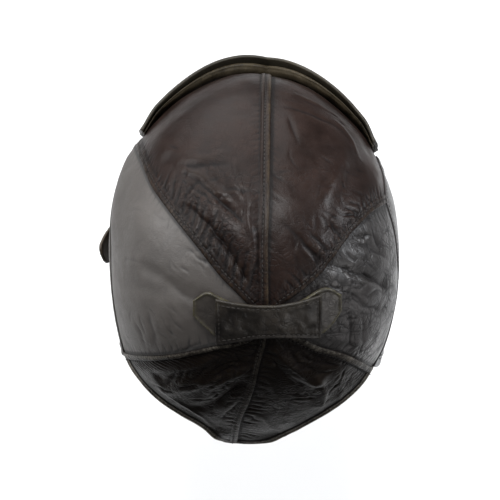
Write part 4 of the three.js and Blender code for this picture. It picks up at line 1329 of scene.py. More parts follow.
@dataclass
class Panel:
    """One crown panel between two seams that leave the hub."""

    relief: Relief
    name: str
    slot: str
    near: Span
    far: Span
    edge: Span
    near_lap: Lap | None = None
    far_lap: Lap | None = None
    hem: Hem | None = None
    near_gathers: tuple[Gather, ...] = ()
    far_gathers: tuple[Gather, ...] = ()
    brow: Span | None = None
    # Distances from each seam of a painted shadow line beside the next panel's lapped edge, 0 for none.
    near_shadow_line: float = 0.0
    far_shadow_line: float = 0.0
    near_pucker: float = 0.4
    far_pucker: float = 0.4
    crackle: float = 0.2
    creased: float = 1.0
    rows: int = 205
    columns: int = 150
    seam_gap: float = 0.5
    under_flap: float = 0.8

    def place(self, u: Array, v: Array) -> Array:
        """Gives directions by shares across and down the panel.

        Args:
            u: Shares across.
            v: Shares down from the hub.

        Returns:
            Unit directions from the form's centre.
        """
        low, high = self.edge.at(0.0), self.edge.at(1.0)
        a, b = u[..., None], v[..., None]
        rim = self.edge.at(u) + (high - low) * (a - np.clip(a, 0.0, 1.0))
        points = self.near.at(v) * (1 - a) + self.far.at(v) * a + (rim - low * (1 - a) - high * a) * b
        return unit(points)

    @property
    def length(self) -> float:
        """The panel's length from hub to edge."""
        return (self.near.length + self.far.length) / 2.0

    def gathers(self, from_near: Array, from_far: Array) -> list[tuple[Gather, Array, Span]]:
        """Lists the gathers with the distances from their seam and the seam."""
        near = [(gather, from_near, self.near) for gather in self.near_gathers]
        return near + [(gather, from_far, self.far) for gather in self.far_gathers]

    def lifted(self, u: Array, v: Array) -> Faces:
        """Gives the leather's faces at places of the panel.

        Args:
            u: Shares across.
            v: Shares down.

        Returns:
            Directions, outer offsets, inner offsets and the fine height alone.
        """
        d = self.place(u, v)
        width = np.linalg.norm(self.near.at(v) - self.far.at(v), axis=-1)
        from_near, from_far = u * width, (1.0 - u) * width
        from_edge = (1.0 - v) * self.length
        fine = self.relief.fine(d)
        for gather, away, span in self.gathers(from_near, from_far):
            fine = fine + gather.lift(v * span.length, away, v)
        fine = fine * smoothstep(np.minimum(from_near, from_far), -0.2, 3.0)
        if self.hem is None:
            fine = fine * smoothstep(from_edge, 0.5, 6.0)
        if self.brow is not None:
            points = self.relief.form.surface(d).reshape(-1, 3)
            gap, _ = nearest_on_path(points, self.brow.at(np.linspace(0, 1, 33)))
            fine = fine * smoothstep(gap.reshape(fine.shape), 4.0, 12.0)
        body = self.relief.base(d) + fine
        lift = np.zeros_like(body)
        under = np.full_like(body, -self.relief.form.leather)
        for lap, away, span in ((self.near_lap, from_near, self.near), (self.far_lap, from_far, self.far)):
            if lap is not None:
                raised = lap.lift(away, v * span.length)
                lift = np.where(np.abs(raised) > np.abs(lift), raised, lift)
                under = np.maximum(under, lap.underside(away, self.relief.form.leather))
        if self.hem is not None:
            turned = self.hem.lift(from_edge)
            lift = np.where(np.abs(turned) > np.abs(lift), turned, lift)
            drop = rounding(from_edge - self.seam_gap / 2, 1.3)
            lift = lift - drop
            under = under + drop * 0.8
        return d, body + lift, body + under, fine + lift

    def marks(self, u: Array, v: Array, fine: Array) -> dict[str, Array]:
        """Gives the point attributes that the finish reads.

        Args:
            u: Shares across.
            v: Shares down.
            fine: Heights of folds and laps.

        Returns:
            Wear, which on the back panels is partly painted light, painted shade, and the place and strength
            of the seam puckers.
        """
        width = np.linalg.norm(self.near.at(v) - self.far.at(v), axis=-1)
        from_near, from_far = u * width, (1.0 - u) * width
        around = blurred(fine, 4)
        wear = 0.14 * np.clip((fine - around) / 0.7, 0.0, 1.0)
        # Painted shade: the colour darkens in the hollows of the folds.
        shade = np.clip((around - fine) / 0.22, 0.0, 1.0)
        # Painted shadow: a dark line just past the lapped edge of the next panel.
        for line, away in ((self.near_shadow_line, from_near), (self.far_shadow_line, from_far)):
            if line > 0:
                shade = shade + 1.2 * bell(away - line, 1.1)
        for lap, away in ((self.near_lap, from_near), (self.far_lap, from_far)):
            if lap is not None:
                wear = wear + lap.rubbed(away)
        # Painted shade in the notches between the seam puckers.
        for gather, away, seam in self.gathers(from_near, from_far):
            shade = shade + gather.notch(v * seam.length, away, v)
        if self.hem is not None:
            from_edge = (1.0 - v) * self.length
            wear = wear + self.hem.rubbed(from_edge)
            shade = shade * smoothstep(from_edge, 3.0, self.hem.width)
        d = self.place(u, v)
        network = sum(zone.presence(self.relief.form, d) for zone in CREASE_ZONES)
        nearer = from_near < from_far
        span = np.where(nearer, v * self.near.length, v * self.far.length + 400.0)
        away = np.minimum(from_near, from_far)
        near_share = self.near_pucker * bell(from_near, 9.0)
        far_share = self.far_pucker * bell(from_far, 9.0)
        return {
            "wear": np.clip(wear, 0.0, 1.0),
            "shade": np.clip(shade, 0.0, 1.0),
            "run": span,
            "off": away,
            "pucker": np.clip(near_share + far_share, 0.0, 1.0),
            "crackle": np.clip(self.crackle + self.creased * network, 0.0, 1.0),
        }

    def build(self, outside: Material, inside: Material) -> Piece:
        """Builds the panel.

        Args:
            outside: Material outside.
            inside: Material inside.

        Returns:
            The object.
        """
        start = 3.0 / self.length
        last = 1.0 - (self.seam_gap / 2 if self.hem else self.under_flap) / self.length
        even = np.linspace(0, 1, self.rows)
        dense = 1.0 - EDGE_MARKS[::-1] / self.length
        downs = start + (last - start) * np.unique(np.concatenate([even[even < dense[0]], dense]))
        width = np.linalg.norm(self.near.at(downs) - self.far.at(downs), axis=-1)
        near = -self.near_lap.overlap if self.near_lap else self.seam_gap / 2
        far = -self.far_lap.overlap if self.far_lap else self.seam_gap / 2
        u = spread(width, self.columns, near, far)
        v = np.repeat(downs[:, None], u.shape[1], axis=1)
        d, outer, inner, fine = self.lifted(u, v)
        form = self.relief.form
        sheet = Sheet(form.skin(d, outer), form.skin(d, inner), self.marks(u, v, fine))
        return sheet.mesh(self.name, outside, inside)

    def sewn_row(self, lap: Lap, far: bool, first: float = 0.06, last: float = 0.985) -> Array:
        """Gives the line of stitches along a lap.

        Args:
            lap: The lap.
            far: True for the far seam.
            first: Share of the seam where the row starts.
            last: Share where it ends.

        Returns:
            Points in millimetres.
        """
        v = np.linspace(first, last, 160)
        width = np.linalg.norm(self.near.at(v) - self.far.at(v), axis=-1)
        share = lap.stitch / width
        u = 1.0 - share if far else share
        d, outer, _, _ = self.lifted(u, v)
        return self.relief.form.skin(d, outer + 0.1)

    def hem_row(self, hem: Hem) -> Array:
        """Gives the line of stitches along the hem."""
        u = np.linspace(0.03, 0.97, 120)
        v = np.full_like(u, 1.0 - hem.stitch / self.length)
        d, outer, _, _ = self.lifted(u, v)
        return self.relief.form.skin(d, outer + 0.1)


@dataclass
class Crown:
    """The six sewn panels."""

    form: CrownForm
    rim: FormLine = field(init=False)
    nape: FormLine = field(init=False)
    seams: dict[str, Span] = field(init=False)
    relief: Relief = field(init=False)

    def __post_init__(self) -> None:
        """Draws the lines on the form."""
        self.rim = FormLine.on(self.form, list(RIM_ROWS.values()))
        self.nape = FormLine.on(self.form, list(NAPE_ROWS.values()))
        self.seams = {key: FormLine.on(self.form, rows).between() for key, rows in SEAM_ROWS.items()}
        flaps = [self.rim_between(f"temple_{side}", f"corner_{side}") for side in ("left", "right")]
        hub = self.form.surface(self.form.toward([TAB_CENTRE]))[0]
        self.relief = Relief(self.form, [*self.seams.values(), *flaps], hub)

    def rim_between(self, first: str, last: str) -> Span:
        """Gives a stretch of the rim between two named places."""
        names = list(RIM_ROWS)
        return self.rim.between(names.index(first), names.index(last))

    def nape_between(self, first: str, last: str) -> Span:
        """Gives a stretch of the nape line between two named places."""
        names = list(NAPE_ROWS)
        return self.nape.between(names.index(first), names.index(last))

    def panels(self) -> list[Panel]:
        """Lists the six panels.

        Returns:
            The panels.
        """
        r, s = self.relief, self.seams
        strip = Lap(width=3.6, rise=1.25, stitch=1.7, groove=0.6, overlap=2.3, rub=0.26)
        lap = Lap()
        ridge = Lap(width=2.7, rise=1.45, stitch=3.3, groove=0.6, overlap=1.0, rub=0.26, turn=1.5)
        hem = Hem()
        brow = self.rim_between("temple_right", "temple_left")
        return [
            Panel(
                r, "front_panel_left_hide", "front_leather", s["centre"], s["diagonal_left"],
                self.rim_between("brow_centre", "temple_left"), near_lap=strip, far_lap=lap, brow=brow,
                near_gathers=(Gather(4.2, 0.20, 3.0, 6.0, seed=21),),
                near_pucker=0.35, far_pucker=1.0, crackle=0.18,
                far_gathers=(
                    Gather(5.8, 1.70, 6.0, 7.0, -0.5, 0.06, 0.62, 22),
                    Gather(3.4, 0.35, 3.0, 4.6, 0.0, 0.06, 0.90, 23),
                ),
            ),
            Panel(
                r, "front_panel_right_hide", "front_leather", s["centre"], s["diagonal_right"],
                self.rim_between("brow_centre", "seam_end_right"), far_lap=lap, brow=brow, near_shadow_line=2.9,
                near_gathers=(Gather(5.0, 0.30, 4.0, 3.0, seed=24),),
                near_pucker=0.25, far_pucker=1.0, crackle=0.08, creased=0.5,
                far_gathers=(
                    Gather(5.0, 1.40, 5.0, 5.0, 0.5, 0.10, 0.95, 25),
                    Gather(2.9, 0.40, 2.8, 4.0, 0.0, 0.08, 0.97, 26),
                ),
            ),
            Panel(
                r, "side_panel_left_hide", "side_leather", s["diagonal_left"], s["lateral_left"],
                self.rim_between("temple_left", "corner_left"), near_shadow_line=1.5, far_shadow_line=1.9,
                near_gathers=(Gather(4.6, 0.18, 3.0, 2.5, seed=27),),
                near_pucker=0.15, far_pucker=0.5, crackle=0.10, creased=0.1,
                far_gathers=(Gather(5.5, 0.30, 5.0, 3.5, seed=28),),
            ),
            Panel(
                r, "side_panel_right_hide", "side_leather", s["diagonal_right"], s["lateral_right"],
                self.rim_between("seam_end_right", "corner_right"), near_shadow_line=1.5, far_shadow_line=1.9,
                near_gathers=(Gather(5.0, 0.26, 5.0, 4.0, seed=29),),
                near_pucker=0.9, far_pucker=0.6, crackle=1.0,
                far_gathers=(Gather(5.0, 0.35, 5.0, 3.5, seed=30),),
            ),
            Panel(
                r, "back_panel_left_hide", "back_leather", s["back"], s["lateral_left"],
                self.nape_between("tip", "corner_left"), near_lap=lap, far_lap=ridge, hem=hem,
                near_gathers=(Gather(6.0, 0.70, 8.0, 7.0, -0.9, 0.08, 0.95, 31),),
                near_pucker=0.8, far_pucker=1.0, crackle=0.5,
                far_gathers=(Gather(4.6, 0.55, 5.5, 6.0, 0.6, 0.06, 0.95, 32),),
            ),
            Panel(
                r, "back_panel_right_hide", "back_leather", s["back"], s["lateral_right"],
                self.nape_between("tip", "corner_right"), far_lap=ridge, hem=hem, near_shadow_line=1.5,
                near_gathers=(Gather(6.4, 0.75, 8.0, 4.0, -0.9, 0.08, 0.95, 33),),
                near_pucker=0.8, far_pucker=0.9, crackle=0.6,
                far_gathers=(Gather(4.8, 0.50, 6.0, 6.0, 0.5, 0.06, 0.95, 34),),
            ),
        ]


FLAP_ROWS: dict[str, dict[str, tuple[Row, ...]]] = {
    "left": {
        "front": ((80, 48, 48), (86, 52, 15), (87, 55, -20), (80, 57, -48), (74, 48, -65)),
        "bottom": ((74, 48, -65), (74, 30, -70), (76, 12, -67)),
        "rear": ((91, -52, -22), (88, -36, -42), (82, -10, -60), (76, 12, -67)),
    },
    "right": {
        "front": ((-86, 34, 50), (-89, 46, 16), (-87, 54, -20), (-80, 57, -48), (-74, 48, -65)),
        "bottom": ((-74, 48, -65), (-74, 30, -70), (-76, 12, -67)),
        "rear": ((-80, -74, -13), (-87, -44, -40), (-82, -12, -60), (-76, 12, -67)),
    },
}


@dataclass
class EarFlap:
    """An ear flap that laps over its seam on the crown and flares as it hangs."""

    name: str
    relief: Relief
    seam: Span
    rows: dict[str, tuple[Row, ...]]
    flare: float = 2.5
    hem: Hem = field(default_factory=lambda: Hem(bead=0.35))
    lap: Lap = field(default_factory=Lap)
    steps: int = 110
    form: CrownForm = field(init=False)
    front: Span = field(init=False)
    bottom: Span = field(init=False)
    rear: Span = field(init=False)

    def __post_init__(self) -> None:
        """Draws the free edges."""
        self.form = self.relief.form
        self.front = FormLine.on(self.form, self.rows["front"]).between()
        self.bottom = FormLine.on(self.form, self.rows["bottom"]).between()
        self.rear = FormLine.on(self.form, self.rows["rear"]).between()

    @property
    def width(self) -> float:
        """The flap's mean width."""
        return (self.seam.length + self.bottom.length) / 2.0

    @property
    def length(self) -> float:
        """The flap's mean length."""
        return (self.front.length + self.rear.length) / 2.0

    def direction(self, u: Array, v: Array) -> Array:
        """Gives directions by shares across and down.

        Args:
            u: Shares from the front edge.
            v: Shares down from the seam.

        Returns:
            Unit directions from the form's centre.
        """
        a, b = u[..., None], v[..., None]
        points = self.seam.at(u) * (1 - b) + self.bottom.at(u) * b
        points = points + self.front.at(v) * (1 - a) + self.rear.at(v) * a
        points = points - self.seam.at(0.0) * (1 - a) * (1 - b) - self.seam.at(1.0) * a * (1 - b)
        points = points - self.bottom.at(0.0) * (1 - a) * b - self.bottom.at(1.0) * a * b
        return unit(points)

    def point(self, u: float, v: float, offset: float) -> Array:
        """Gives one point at an offset from the flap, as the solid has it."""
        d = self.direction(np.array([u]), np.array([v]))
        return self.form.skin(d, self.relief.base(d) + self.flare * v * v + offset)[0]

    def normal(self, u: float, v: float) -> Array:
        """Gives the flap's outward normal at one place."""
        step = 0.02
        across = self.point(u + step, v, 0.0) - self.point(u - step, v, 0.0)
        down = self.point(u, v + step, 0.0) - self.point(u, v - step, 0.0)
        normal = unit(np.cross(across, down))
        outward = self.direction(np.array([u]), np.array([v]))[0]
        return -normal if normal @ outward < 0 else normal

    def lifted(self, u: Array, v: Array) -> Faces:
        """Gives the flap's faces at places.

        Args:
            u: Shares across.
            v: Shares down.

        Returns:
            Directions, outer offsets, inner offsets and the fine height.
        """
        d = self.direction(u, np.maximum(v, 0.0))
        above = np.minimum(v, 0.0)[..., None]
        step = 0.02
        onward = self.direction(u, np.full_like(v, step)) - self.direction(u, np.zeros_like(v))
        d = unit(d + above * onward / step)
        from_side = np.minimum(u, 1.0 - u) * self.width
        from_edge = np.minimum(from_side, (1.0 - v) * self.length)
        from_seam = v * self.length
        fine = self.relief.fine(d) * smoothstep(from_seam, 0.5, 8.0) * smoothstep(from_edge, 1.0, 8.0) * 0.6
        along = u * self.seam.length
        fine = fine + Gather(5.5, 0.25, 4.0, 4.5, seed=41).lift(along, from_seam, u)
        body = self.relief.base(d) + self.flare * np.maximum(v, 0.0) ** 2 + fine
        seam = self.lap.lift(from_seam, along)
        turned = self.hem.lift(from_edge)
        lift = np.where(np.abs(turned) > np.abs(seam), turned, seam)
        drop = rounding(from_edge - 0.25, 1.2)
        leather = self.form.leather
        under = np.maximum(np.full_like(body, -leather), self.lap.underside(from_seam, leather))
        return d, body + lift - drop, body + under + 0.8 * drop, fine + lift

    def build(self, outside: Material, inside: Material) -> Piece:
        """Builds the flap.

        Args:
            outside: Material outside.
            inside: Material inside.

        Returns:
            The object.
        """
        edge = 0.25
        u = spread(np.array([self.width]), self.steps, edge, edge)[0]
        v = spread(np.array([self.length]), self.steps, -self.lap.overlap, edge)[0]
        uu, vv = np.meshgrid(u, v)
        d, outer, inner, fine = self.lifted(uu, vv)
        around = blurred(fine, 5)
        fields = {
            "wear": 0.4 * np.clip((fine - around) / 0.6, 0.0, 1.0),
            "shade": np.clip((around - fine) / 0.6, 0.0, 1.0),
            "crackle": np.full_like(fine, 0.3),
        }
        sheet = Sheet(self.form.skin(d, outer), self.form.skin(d, inner), fields)
        return sheet.mesh(self.name, outside, inside)

    def sewn_rows(self) -> list[Array]:
        """Gives the stitched lines at the seam and round the hem.

        Returns:
            Lists of points.
        """
        inset_u, inset_v = self.hem.stitch / self.width, self.hem.stitch / self.length
        t = np.linspace(0, 1, 90)
        across = inset_u + (1 - 2 * inset_u) * t
        down = 0.03 + (1 - inset_v - 0.03) * t
        lines = (
            (across, np.full_like(t, self.lap.stitch / self.length)),
            (np.full_like(t, inset_u), down),
            (across, np.full_like(t, 1.0 - inset_v)),
            (np.full_like(t, 1.0 - inset_u), down[::-1]),
        )
        rows = []
        for u, v in lines:
            d, outer, _, _ = self.lifted(u, v)
            rows.append(self.form.skin(d, outer + 0.1))
        return rows


@dataclass
class Brow:
    """The turned-up cuff across the brow and the padded roll behind it."""

    crown: Crown
    height_centre: float = 19.5
    height_end: float = 13.0
    below: float = 3.0
    lift_centre: float = 9.0
    lift_end: float = 3.9
    bow: float = 1.0
    peak: float = 2.6
    depth_centre: float = 5.8
    depth_end: float = 1.5
    roll_height: float = 8.0
    roll_set: float = 2.4
    gap: float = 0.35
    stations: int = 260
    first: float = 0.02
    last: float = 0.975

    def __post_init__(self) -> None:
        """Reads the brow line."""
        self.line = self.crown.rim_between("temple_right", "temple_left")
        self.shares = np.linspace(self.first, self.last, self.stations)
        self.noise = SoftNoise(51)

    def frames(self) -> tuple[Array, Array, Array]:
        """Gives the origin, normal and up at each station.

        Returns:
            Three arrays of vectors.
        """
        form, t = self.crown.form, self.shares
        d = unit(self.line.at(t))
        normal = form.normal(d)
        step = 0.01
        ahead = form.surface(unit(self.line.at(np.minimum(t + step, 1.0))))
        behind = form.surface(unit(self.line.at(np.maximum(t - step, 0.0))))
        up = unit(np.cross(unit(ahead - behind), normal))
        up = np.where(up[:, 2:] < 0, -up, up)
        return form.skin(d, np.maximum(self.crown.relief.base(d), 0.0)), normal, up

    def sizes(self) -> tuple[Array, Array, Array]:
        """Gives the height, lift and roll depth at each station."""
        middle = (1.0 - (2.0 * self.shares - 1.0) ** 2) ** self.peak
        height = self.height_end + (self.height_centre - self.height_end) * middle
        lift = self.lift_end + (self.lift_centre - self.lift_end) * middle
        tuck = smoothstep(np.minimum(self.shares - self.first, self.last - self.shares), -0.02, 0.08)
        lift = lift * (0.35 + 0.65 * tuck)
        height = height * (0.8 + 0.2 * tuck)
        return height, lift, self.depth_end + (self.depth_centre - self.depth_end) * middle

    def face(self, high: Array, height: Array, lift: Array) -> Array:
        """Gives how far out the cuff's inner face is at a height.

        Args:
            high: Heights along the cuff.
            height: The cuff's full height.
            lift: Its lift at the top.

        Returns:
            Distances from the crown.
        """
        waist = height / 2.0
        bow = (self.gap + lift) / 2.0 + self.bow
        upper = bow + (lift - bow) * (high - waist) / (height - 1.0 - waist)
        lower = self.gap + (bow - self.gap) * (high + self.below) / (waist + self.below)
        return np.where(high > waist, upper, lower)

    def grid(self, section: list[tuple[Array, Array]]) -> Array:
        """Places a section of out and up distances at every station."""
        origin, normal, up = self.frames()
        rows = [origin + normal * out[:, None] + up * high[:, None] for out, high in section]
        return np.stack(rows, axis=1)

    def cuff(self, outside: Material) -> Piece:
        """Builds the cuff as a folded strip that turns in under the rim.

        Args:
            outside: Its leather.

        Returns:
            The object.
        """
        height, lift, _ = self.sizes()
        half = 1.0
        section: list[tuple[Array, Array]] = []
        wear: list[float] = []
        parts = ((0.0, 0.08, 4), (0.12, 0.88, 14), (0.92, 1.0, 4))
        rises = np.concatenate([np.linspace(*part) for part in parts])
        wobble = self.noise.at(self.shares[:, None] * np.array([300.0, 0.0, 0.0]), 14.0)
        for share in rises:
            high = -self.below + (height + self.below - half) * share
            out = self.face(high, height, lift) + 2.0 * half
            stitched = 0.45 * bell(height - high - 4.4, 0.8)
            stitched = stitched + 0.45 * bell(high + self.below - 3.0, 0.8)
            section.append((out - stitched + 0.22 * wobble * math.sin(math.pi * share), high))
            wear.append(0.25 * float(smoothstep(np.array(share), 0.86, 1.0)))
        # Painted light: the turned top edge and the inner face, which lies in shade behind the roll, get the
        # lighter colour; on the edge it is also wear.
        for angle in (30.0, 60.0, 90.0, 120.0, 150.0):
            turn = math.radians(angle)
            out = self.face(height - half, height, lift) + half + half * math.cos(turn)
            section.append((out, height - half + half * math.sin(turn)))
            wear.append(0.45)
        for share in rises[::-1]:
            high = -self.below + (height + self.below - half) * share
            section.append((self.face(high, height, lift), high))
            wear.append(0.15)
        low = np.full_like(height, -self.below)
        edge = ((0.1, 0.9), (-1.2, 0.85), (-3.0, 0.8), (-3.2, 0.4), (-3.0, 0.0), (-1.2, 0.0), (0.8, 0.0))
        for out, high in edge:
            section.append((np.full_like(height, out), low + high))
            wear.append(0.1)
        grid = self.grid(section)
        worn = np.repeat(np.array(wear)[None, :], len(grid), axis=0)
        worn = np.clip(worn + 0.25 * wobble[:, None] * (worn > 0.3), 0.0, 1.0)
        return tube("brow_cuff_hide", grid, (outside,), {"wear": worn, "shade": np.zeros_like(worn)})

    def roll(self, material: Material) -> Piece:
        """Builds the padded roll with its small gathers.

        Args:
            material: The rubbed leather.

        Returns:
            The object.
        """
        height, lift, depth = self.sizes()
        middle = height - self.roll_set - self.roll_height / 2.0
        along = self.shares * self.line.length
        section: list[tuple[Array, Array]] = []
        wear: list[Array] = []
        for k in range(28):
            angle = 2.0 * math.pi * k / 28
            high = middle + (self.roll_height / 2.0) * math.sin(angle)
            ring = (np.full_like(along, 6.0 * turn) for turn in (math.sin(angle), math.cos(angle)))
            place = np.stack([along, *ring], axis=-1)
            crumple = 0.22 * self.noise.at(place, 7.0) + 0.12 * self.noise.at(place + 60.0, 3.0)
            crumple = crumple - 0.10 * np.abs(np.sin(along / 2.1 + 2.0 * self.noise.at(place, 12.0)))
            open_side = (1.0 - math.cos(angle)) / 2.0
            seam = 0.55 * bell(math.degrees(angle) - 118.0, 9.0)
            out = self.face(high, height, lift) - self.gap - (depth / 2.0) * (1.0 - math.cos(angle)) - 0.1
            bump = crumple - seam
            section.append((out - open_side * bump, high + bump * math.sin(angle) * 0.6))
            # The roll is lighter towards its upper side and on crumple crests.
            wear.append(np.clip(0.35 + 0.5 * math.sin(angle) + 0.5 * crumple, 0.0, 1.0))
        grid = self.grid(section)
        worn = np.stack(wear, axis=1)
        # Painted shade on the roll's darker lower side.
        return tube("brow_roll_hide", grid, (material,), {"wear": worn, "shade": np.clip(0.3 - worn, 0, 1)})

    def sewn_rows(self) -> list[Array]:
        """Gives the cuff's two stitched lines."""
        height, lift, _ = self.sizes()
        rows = []
        for high in (height - 4.4, np.full_like(height, 3.0 - self.below)):
            out = self.face(high, height, lift) + 2.0 - 0.30
            rows.append(self.grid([(out, high)])[4:-4, 0])
        return rows


def tube(name: str, grid: Array, materials: Sequence[Material], fields: dict[str, Array]) -> Piece:
    """Closes a grid of rings into a capped tube.

    Args:
        name: The object's name.
        grid: Rings of points, a row for each ring.
        materials: Its materials.
        fields: Point attributes, in the grid's shape.

    Returns:
        The object.
    """
    rings, sides = grid.shape[:2]
    index = np.arange(rings * sides).reshape(rings, sides)
    right = np.roll(index, -1, axis=1)
    quads = np.stack([index[:-1].ravel(), right[:-1].ravel(), right[1:].ravel(), index[1:].ravel()], axis=1)
    points = [grid.reshape(-1, 3)]
    faces = [quads]
    values = {key: [data.ravel()] for key, data in fields.items()}
    total = rings * sides
    for ring, flipped in ((0, True), (rings - 1, False)):
        centre = grid[ring].mean(axis=0)
        loop = index[ring]
        steps = (0.6, 0.25)
        for share in steps:
            points.append(centre + (grid[ring] - centre) * share)
            new = np.arange(total, total + sides)
            total += sides
            after_old, after_new = np.roll(loop, -1), np.roll(new, -1)
            band = np.stack([loop, after_old, after_new, new], axis=1)
            faces.append(band[:, ::-1] if flipped else band)
            for key, data in fields.items():
                values[key].append(data[ring])
            loop = new
        points.append(centre[None, :])
        middle = total
        total += 1
        for key, data in fields.items():
            values[key].append(data[ring][:1])
        starts = range(0, sides - 1, 2)
        fan = [(loop[k], loop[(k + 1) % sides], loop[(k + 2) % sides], middle) for k in starts]
        if sides % 2:
            fan.append((loop[-1], loop[0], middle, middle))
        cap = np.array(fan)
        faces.append(cap[:, ::-1] if flipped else cap)
    joined = {key: np.concatenate(data) for key, data in values.items()}
    return closed_mesh(name, np.vstack(points), np.vstack(faces), materials, None, joined)


TAB_CENTRE: Row = (-3, -83, 62)
BASE_OUTLINE: tuple[Row, ...] = (
    (1.00, 0.58, 0.16), (0.90, 0.86, -0.12), (0.78, 1.00, -0.34), (0.66, 0.80, -0.70),
    (0.35, 0.48, -0.55), (-0.05, 0.44, -0.48), (-0.40, 0.58, -0.55), (-0.66, 0.96, -0.68),
    (-0.80, 1.00, -0.48), (-0.92, 0.84, -0.16), (-1.00, 0.62, 0.20),
)
TAB_OUTLINE: tuple[Row, ...] = (
    (1.00, 0.94, -1.02), (0.62, 0.80, -0.86), (0.25, 0.68, -0.70), (-0.15, 0.66, -0.68), (-0.55, 0.78, -0.74),
    (-1.00, 1.00, -0.88),
)


@dataclass
class HubPatch:
    """One layer of the tab over the hub, cut to an outline."""

    name: str
    form: CrownForm
    outline: tuple[Row, ...]
    half_length: float
    half_height: float
    under: float
    thickness: float
    rim: float
    stitch: float
    wrinkle: float
    seed: int
    rub: float
    columns: int = 130
    lines: int = 60

    def axes(self) -> tuple[Array, Array, Array]:
        """Gives the hub point, the across and the up vectors."""
        d = self.form.toward([TAB_CENTRE])[0]
        normal = self.form.normal(d)
        across = np.array([1.0, 0.0, 0.0])
        up = unit(np.cross(normal, across))
        return self.form.surface(d), across, -up if up[2] < 0 else up

    def edges(self, across: Array) -> tuple[Array, Array]:
        """Gives the smooth upper and lower edges by share across."""
        rows = np.array(self.outline)[::-1]
        samples = np.linspace(-1, 1, 161)
        weights = np.hanning(23)
        smooth = []
        for column in (1, 2):
            padded = np.pad(np.interp(samples, rows[:, 0], rows[:, column]), 11, mode="edge")
            even = np.convolve(padded, weights / weights.sum(), mode="valid")
            smooth.append(np.interp(across, samples, even))
        return smooth[0], smooth[1]

    def direction(self, across: Array, rise: Array) -> Array:
        """Gives directions by shares across and up the patch.

        Args:
            across: Shares of the half length, 1 at the left end.
            rise: Shares from the lower edge to the upper.

        Returns:
            Unit directions from the form's centre.
        """
        top, bottom = self.edges(across)
        point, side, up = self.axes()
        high = (bottom + (top - bottom) * rise) * self.half_height
        return unit(point + side * (across * self.half_length)[..., None] + up * high[..., None])

    def faces(self, across: Array, rise: Array) -> Faces:
        """Gives the directions, outer and inner offsets, and the rim share.

        Args:
            across: Shares across.
            rise: Shares up.

        Returns:
            Directions, outer offsets, inner offsets and rim shares.
        """
        d = self.direction(across, rise)
        top, bottom = self.edges(across)
        tall = (top - bottom) * self.half_height
        from_end = (1.0 - np.abs(across)) * self.half_length
        away = np.minimum(from_end, np.minimum(rise, 1.0 - rise) * tall)
        noise = SoftNoise(self.seed)
        place = self.form.surface(d)
        bead = self.rim * bell(away - 1.0, 1.1) * (1.0 + 0.4 * noise.at(place, 6.0))
        crumple = noise.at(place, 8.0) + 0.5 * noise.at(place + 30.0, 3.2)
        crumple = self.wrinkle * crumple * smoothstep(away, 0.5, 3.0)
        groove = 0.4 * bell(away - self.stitch, 0.6) * (self.stitch > 0)
        drop = rounding(away, self.thickness / 2.0)
        outer = self.under + self.thickness + bead + crumple - groove - drop
        inner = self.under + 0.8 * drop
        return d, outer, inner, bell(away, 2.2)

    def build(self, outside: Material, inside: Material) -> Piece:
        """Builds the layer.

        Args:
            outside: Material outside.
            inside: Material inside.

        Returns:
            The object.
        """
        marks = EDGE_MARKS[:8]
        ends = marks / self.half_length
        middle = np.linspace(1.0 - ends[-1], -1.0 + ends[-1], self.columns)[1:-1]
        across = np.concatenate([1.0 - ends, middle, (ends - 1.0)[::-1]])
        tall = self.half_height * 1.3
        sides = marks / tall
        middle = np.linspace(sides[-1], 1.0 - sides[-1], self.lines)[1:-1]
        rise = np.concatenate([sides, middle, (1.0 - sides)[::-1]])
        aa, rr = np.meshgrid(across, rise)
        d, outer, inner, rim = self.faces(aa, rr)
        worn = np.clip(rim + 0.4 * SoftNoise(self.seed + 1).at(self.form.surface(d), 9.0) * rim, 0, 1)
        high = smoothstep(rr, 0.55, 0.9) if self.stitch > 0 else 1.0
        fields = {
            "wear": worn * self.rub * high,
            # Painted shade along the edges of the tab strap; the more worn base patch gets almost none.
            "shade": worn * (0.9 - self.rub),
            "crackle": np.full_like(worn, 0.6),
        }
        sheet = Sheet(self.form.skin(d, outer), self.form.skin(d, inner), fields)
        return sheet.mesh(self.name, outside, inside)

    def sewn_row(self) -> Array:
        """Gives the stitched line round the layer."""
        inset_end = self.stitch / self.half_length
        inset_side = self.stitch / (self.half_height * 1.35)
        run = np.linspace(1.0 - inset_end, -1.0 + inset_end, 90)
        climb = np.linspace(inset_side, 1.0 - inset_side, 30)
        across = np.concatenate([run, np.full(30, run[-1]), run[::-1], np.full(30, run[0])])
        rise = np.concatenate([np.full(90, climb[0]), climb, np.full(90, climb[-1]), climb[::-1]])
        d, outer, _, _ = self.faces(across, rise)
        return self.form.skin(d, outer + 0.12)


SEWN_ROWS: tuple[Pair, ...] = ((0.42, 0.61), (0.32, 0.64), (0.22, 0.67), (0.12, 0.70), (0.03, 0.73))
CHIN_ROWS: tuple[Row, ...] = (
    (-0.84, 0.85, -0.52), (-0.77, 0.93, -0.61), (-0.58, 0.97, -0.73), (-0.30, 0.95, -0.83),
    (0.00, 0.93, -0.87), (0.30, 0.95, -0.83), (0.58, 0.97, -0.72), (0.77, 0.93, -0.58),
)
FREE_END_ROWS: tuple[Row, ...] = (
    (2.05, 0.02, 9.0), (2.45, 0.00, 13.0), (2.90, -0.08, 16.0), (3.38, -0.20, 18.0),
)
STRAP_TIP: tuple[Pair, ...] = ((0.985, 0.94), (0.994, 0.76), (1.0, 0.40))


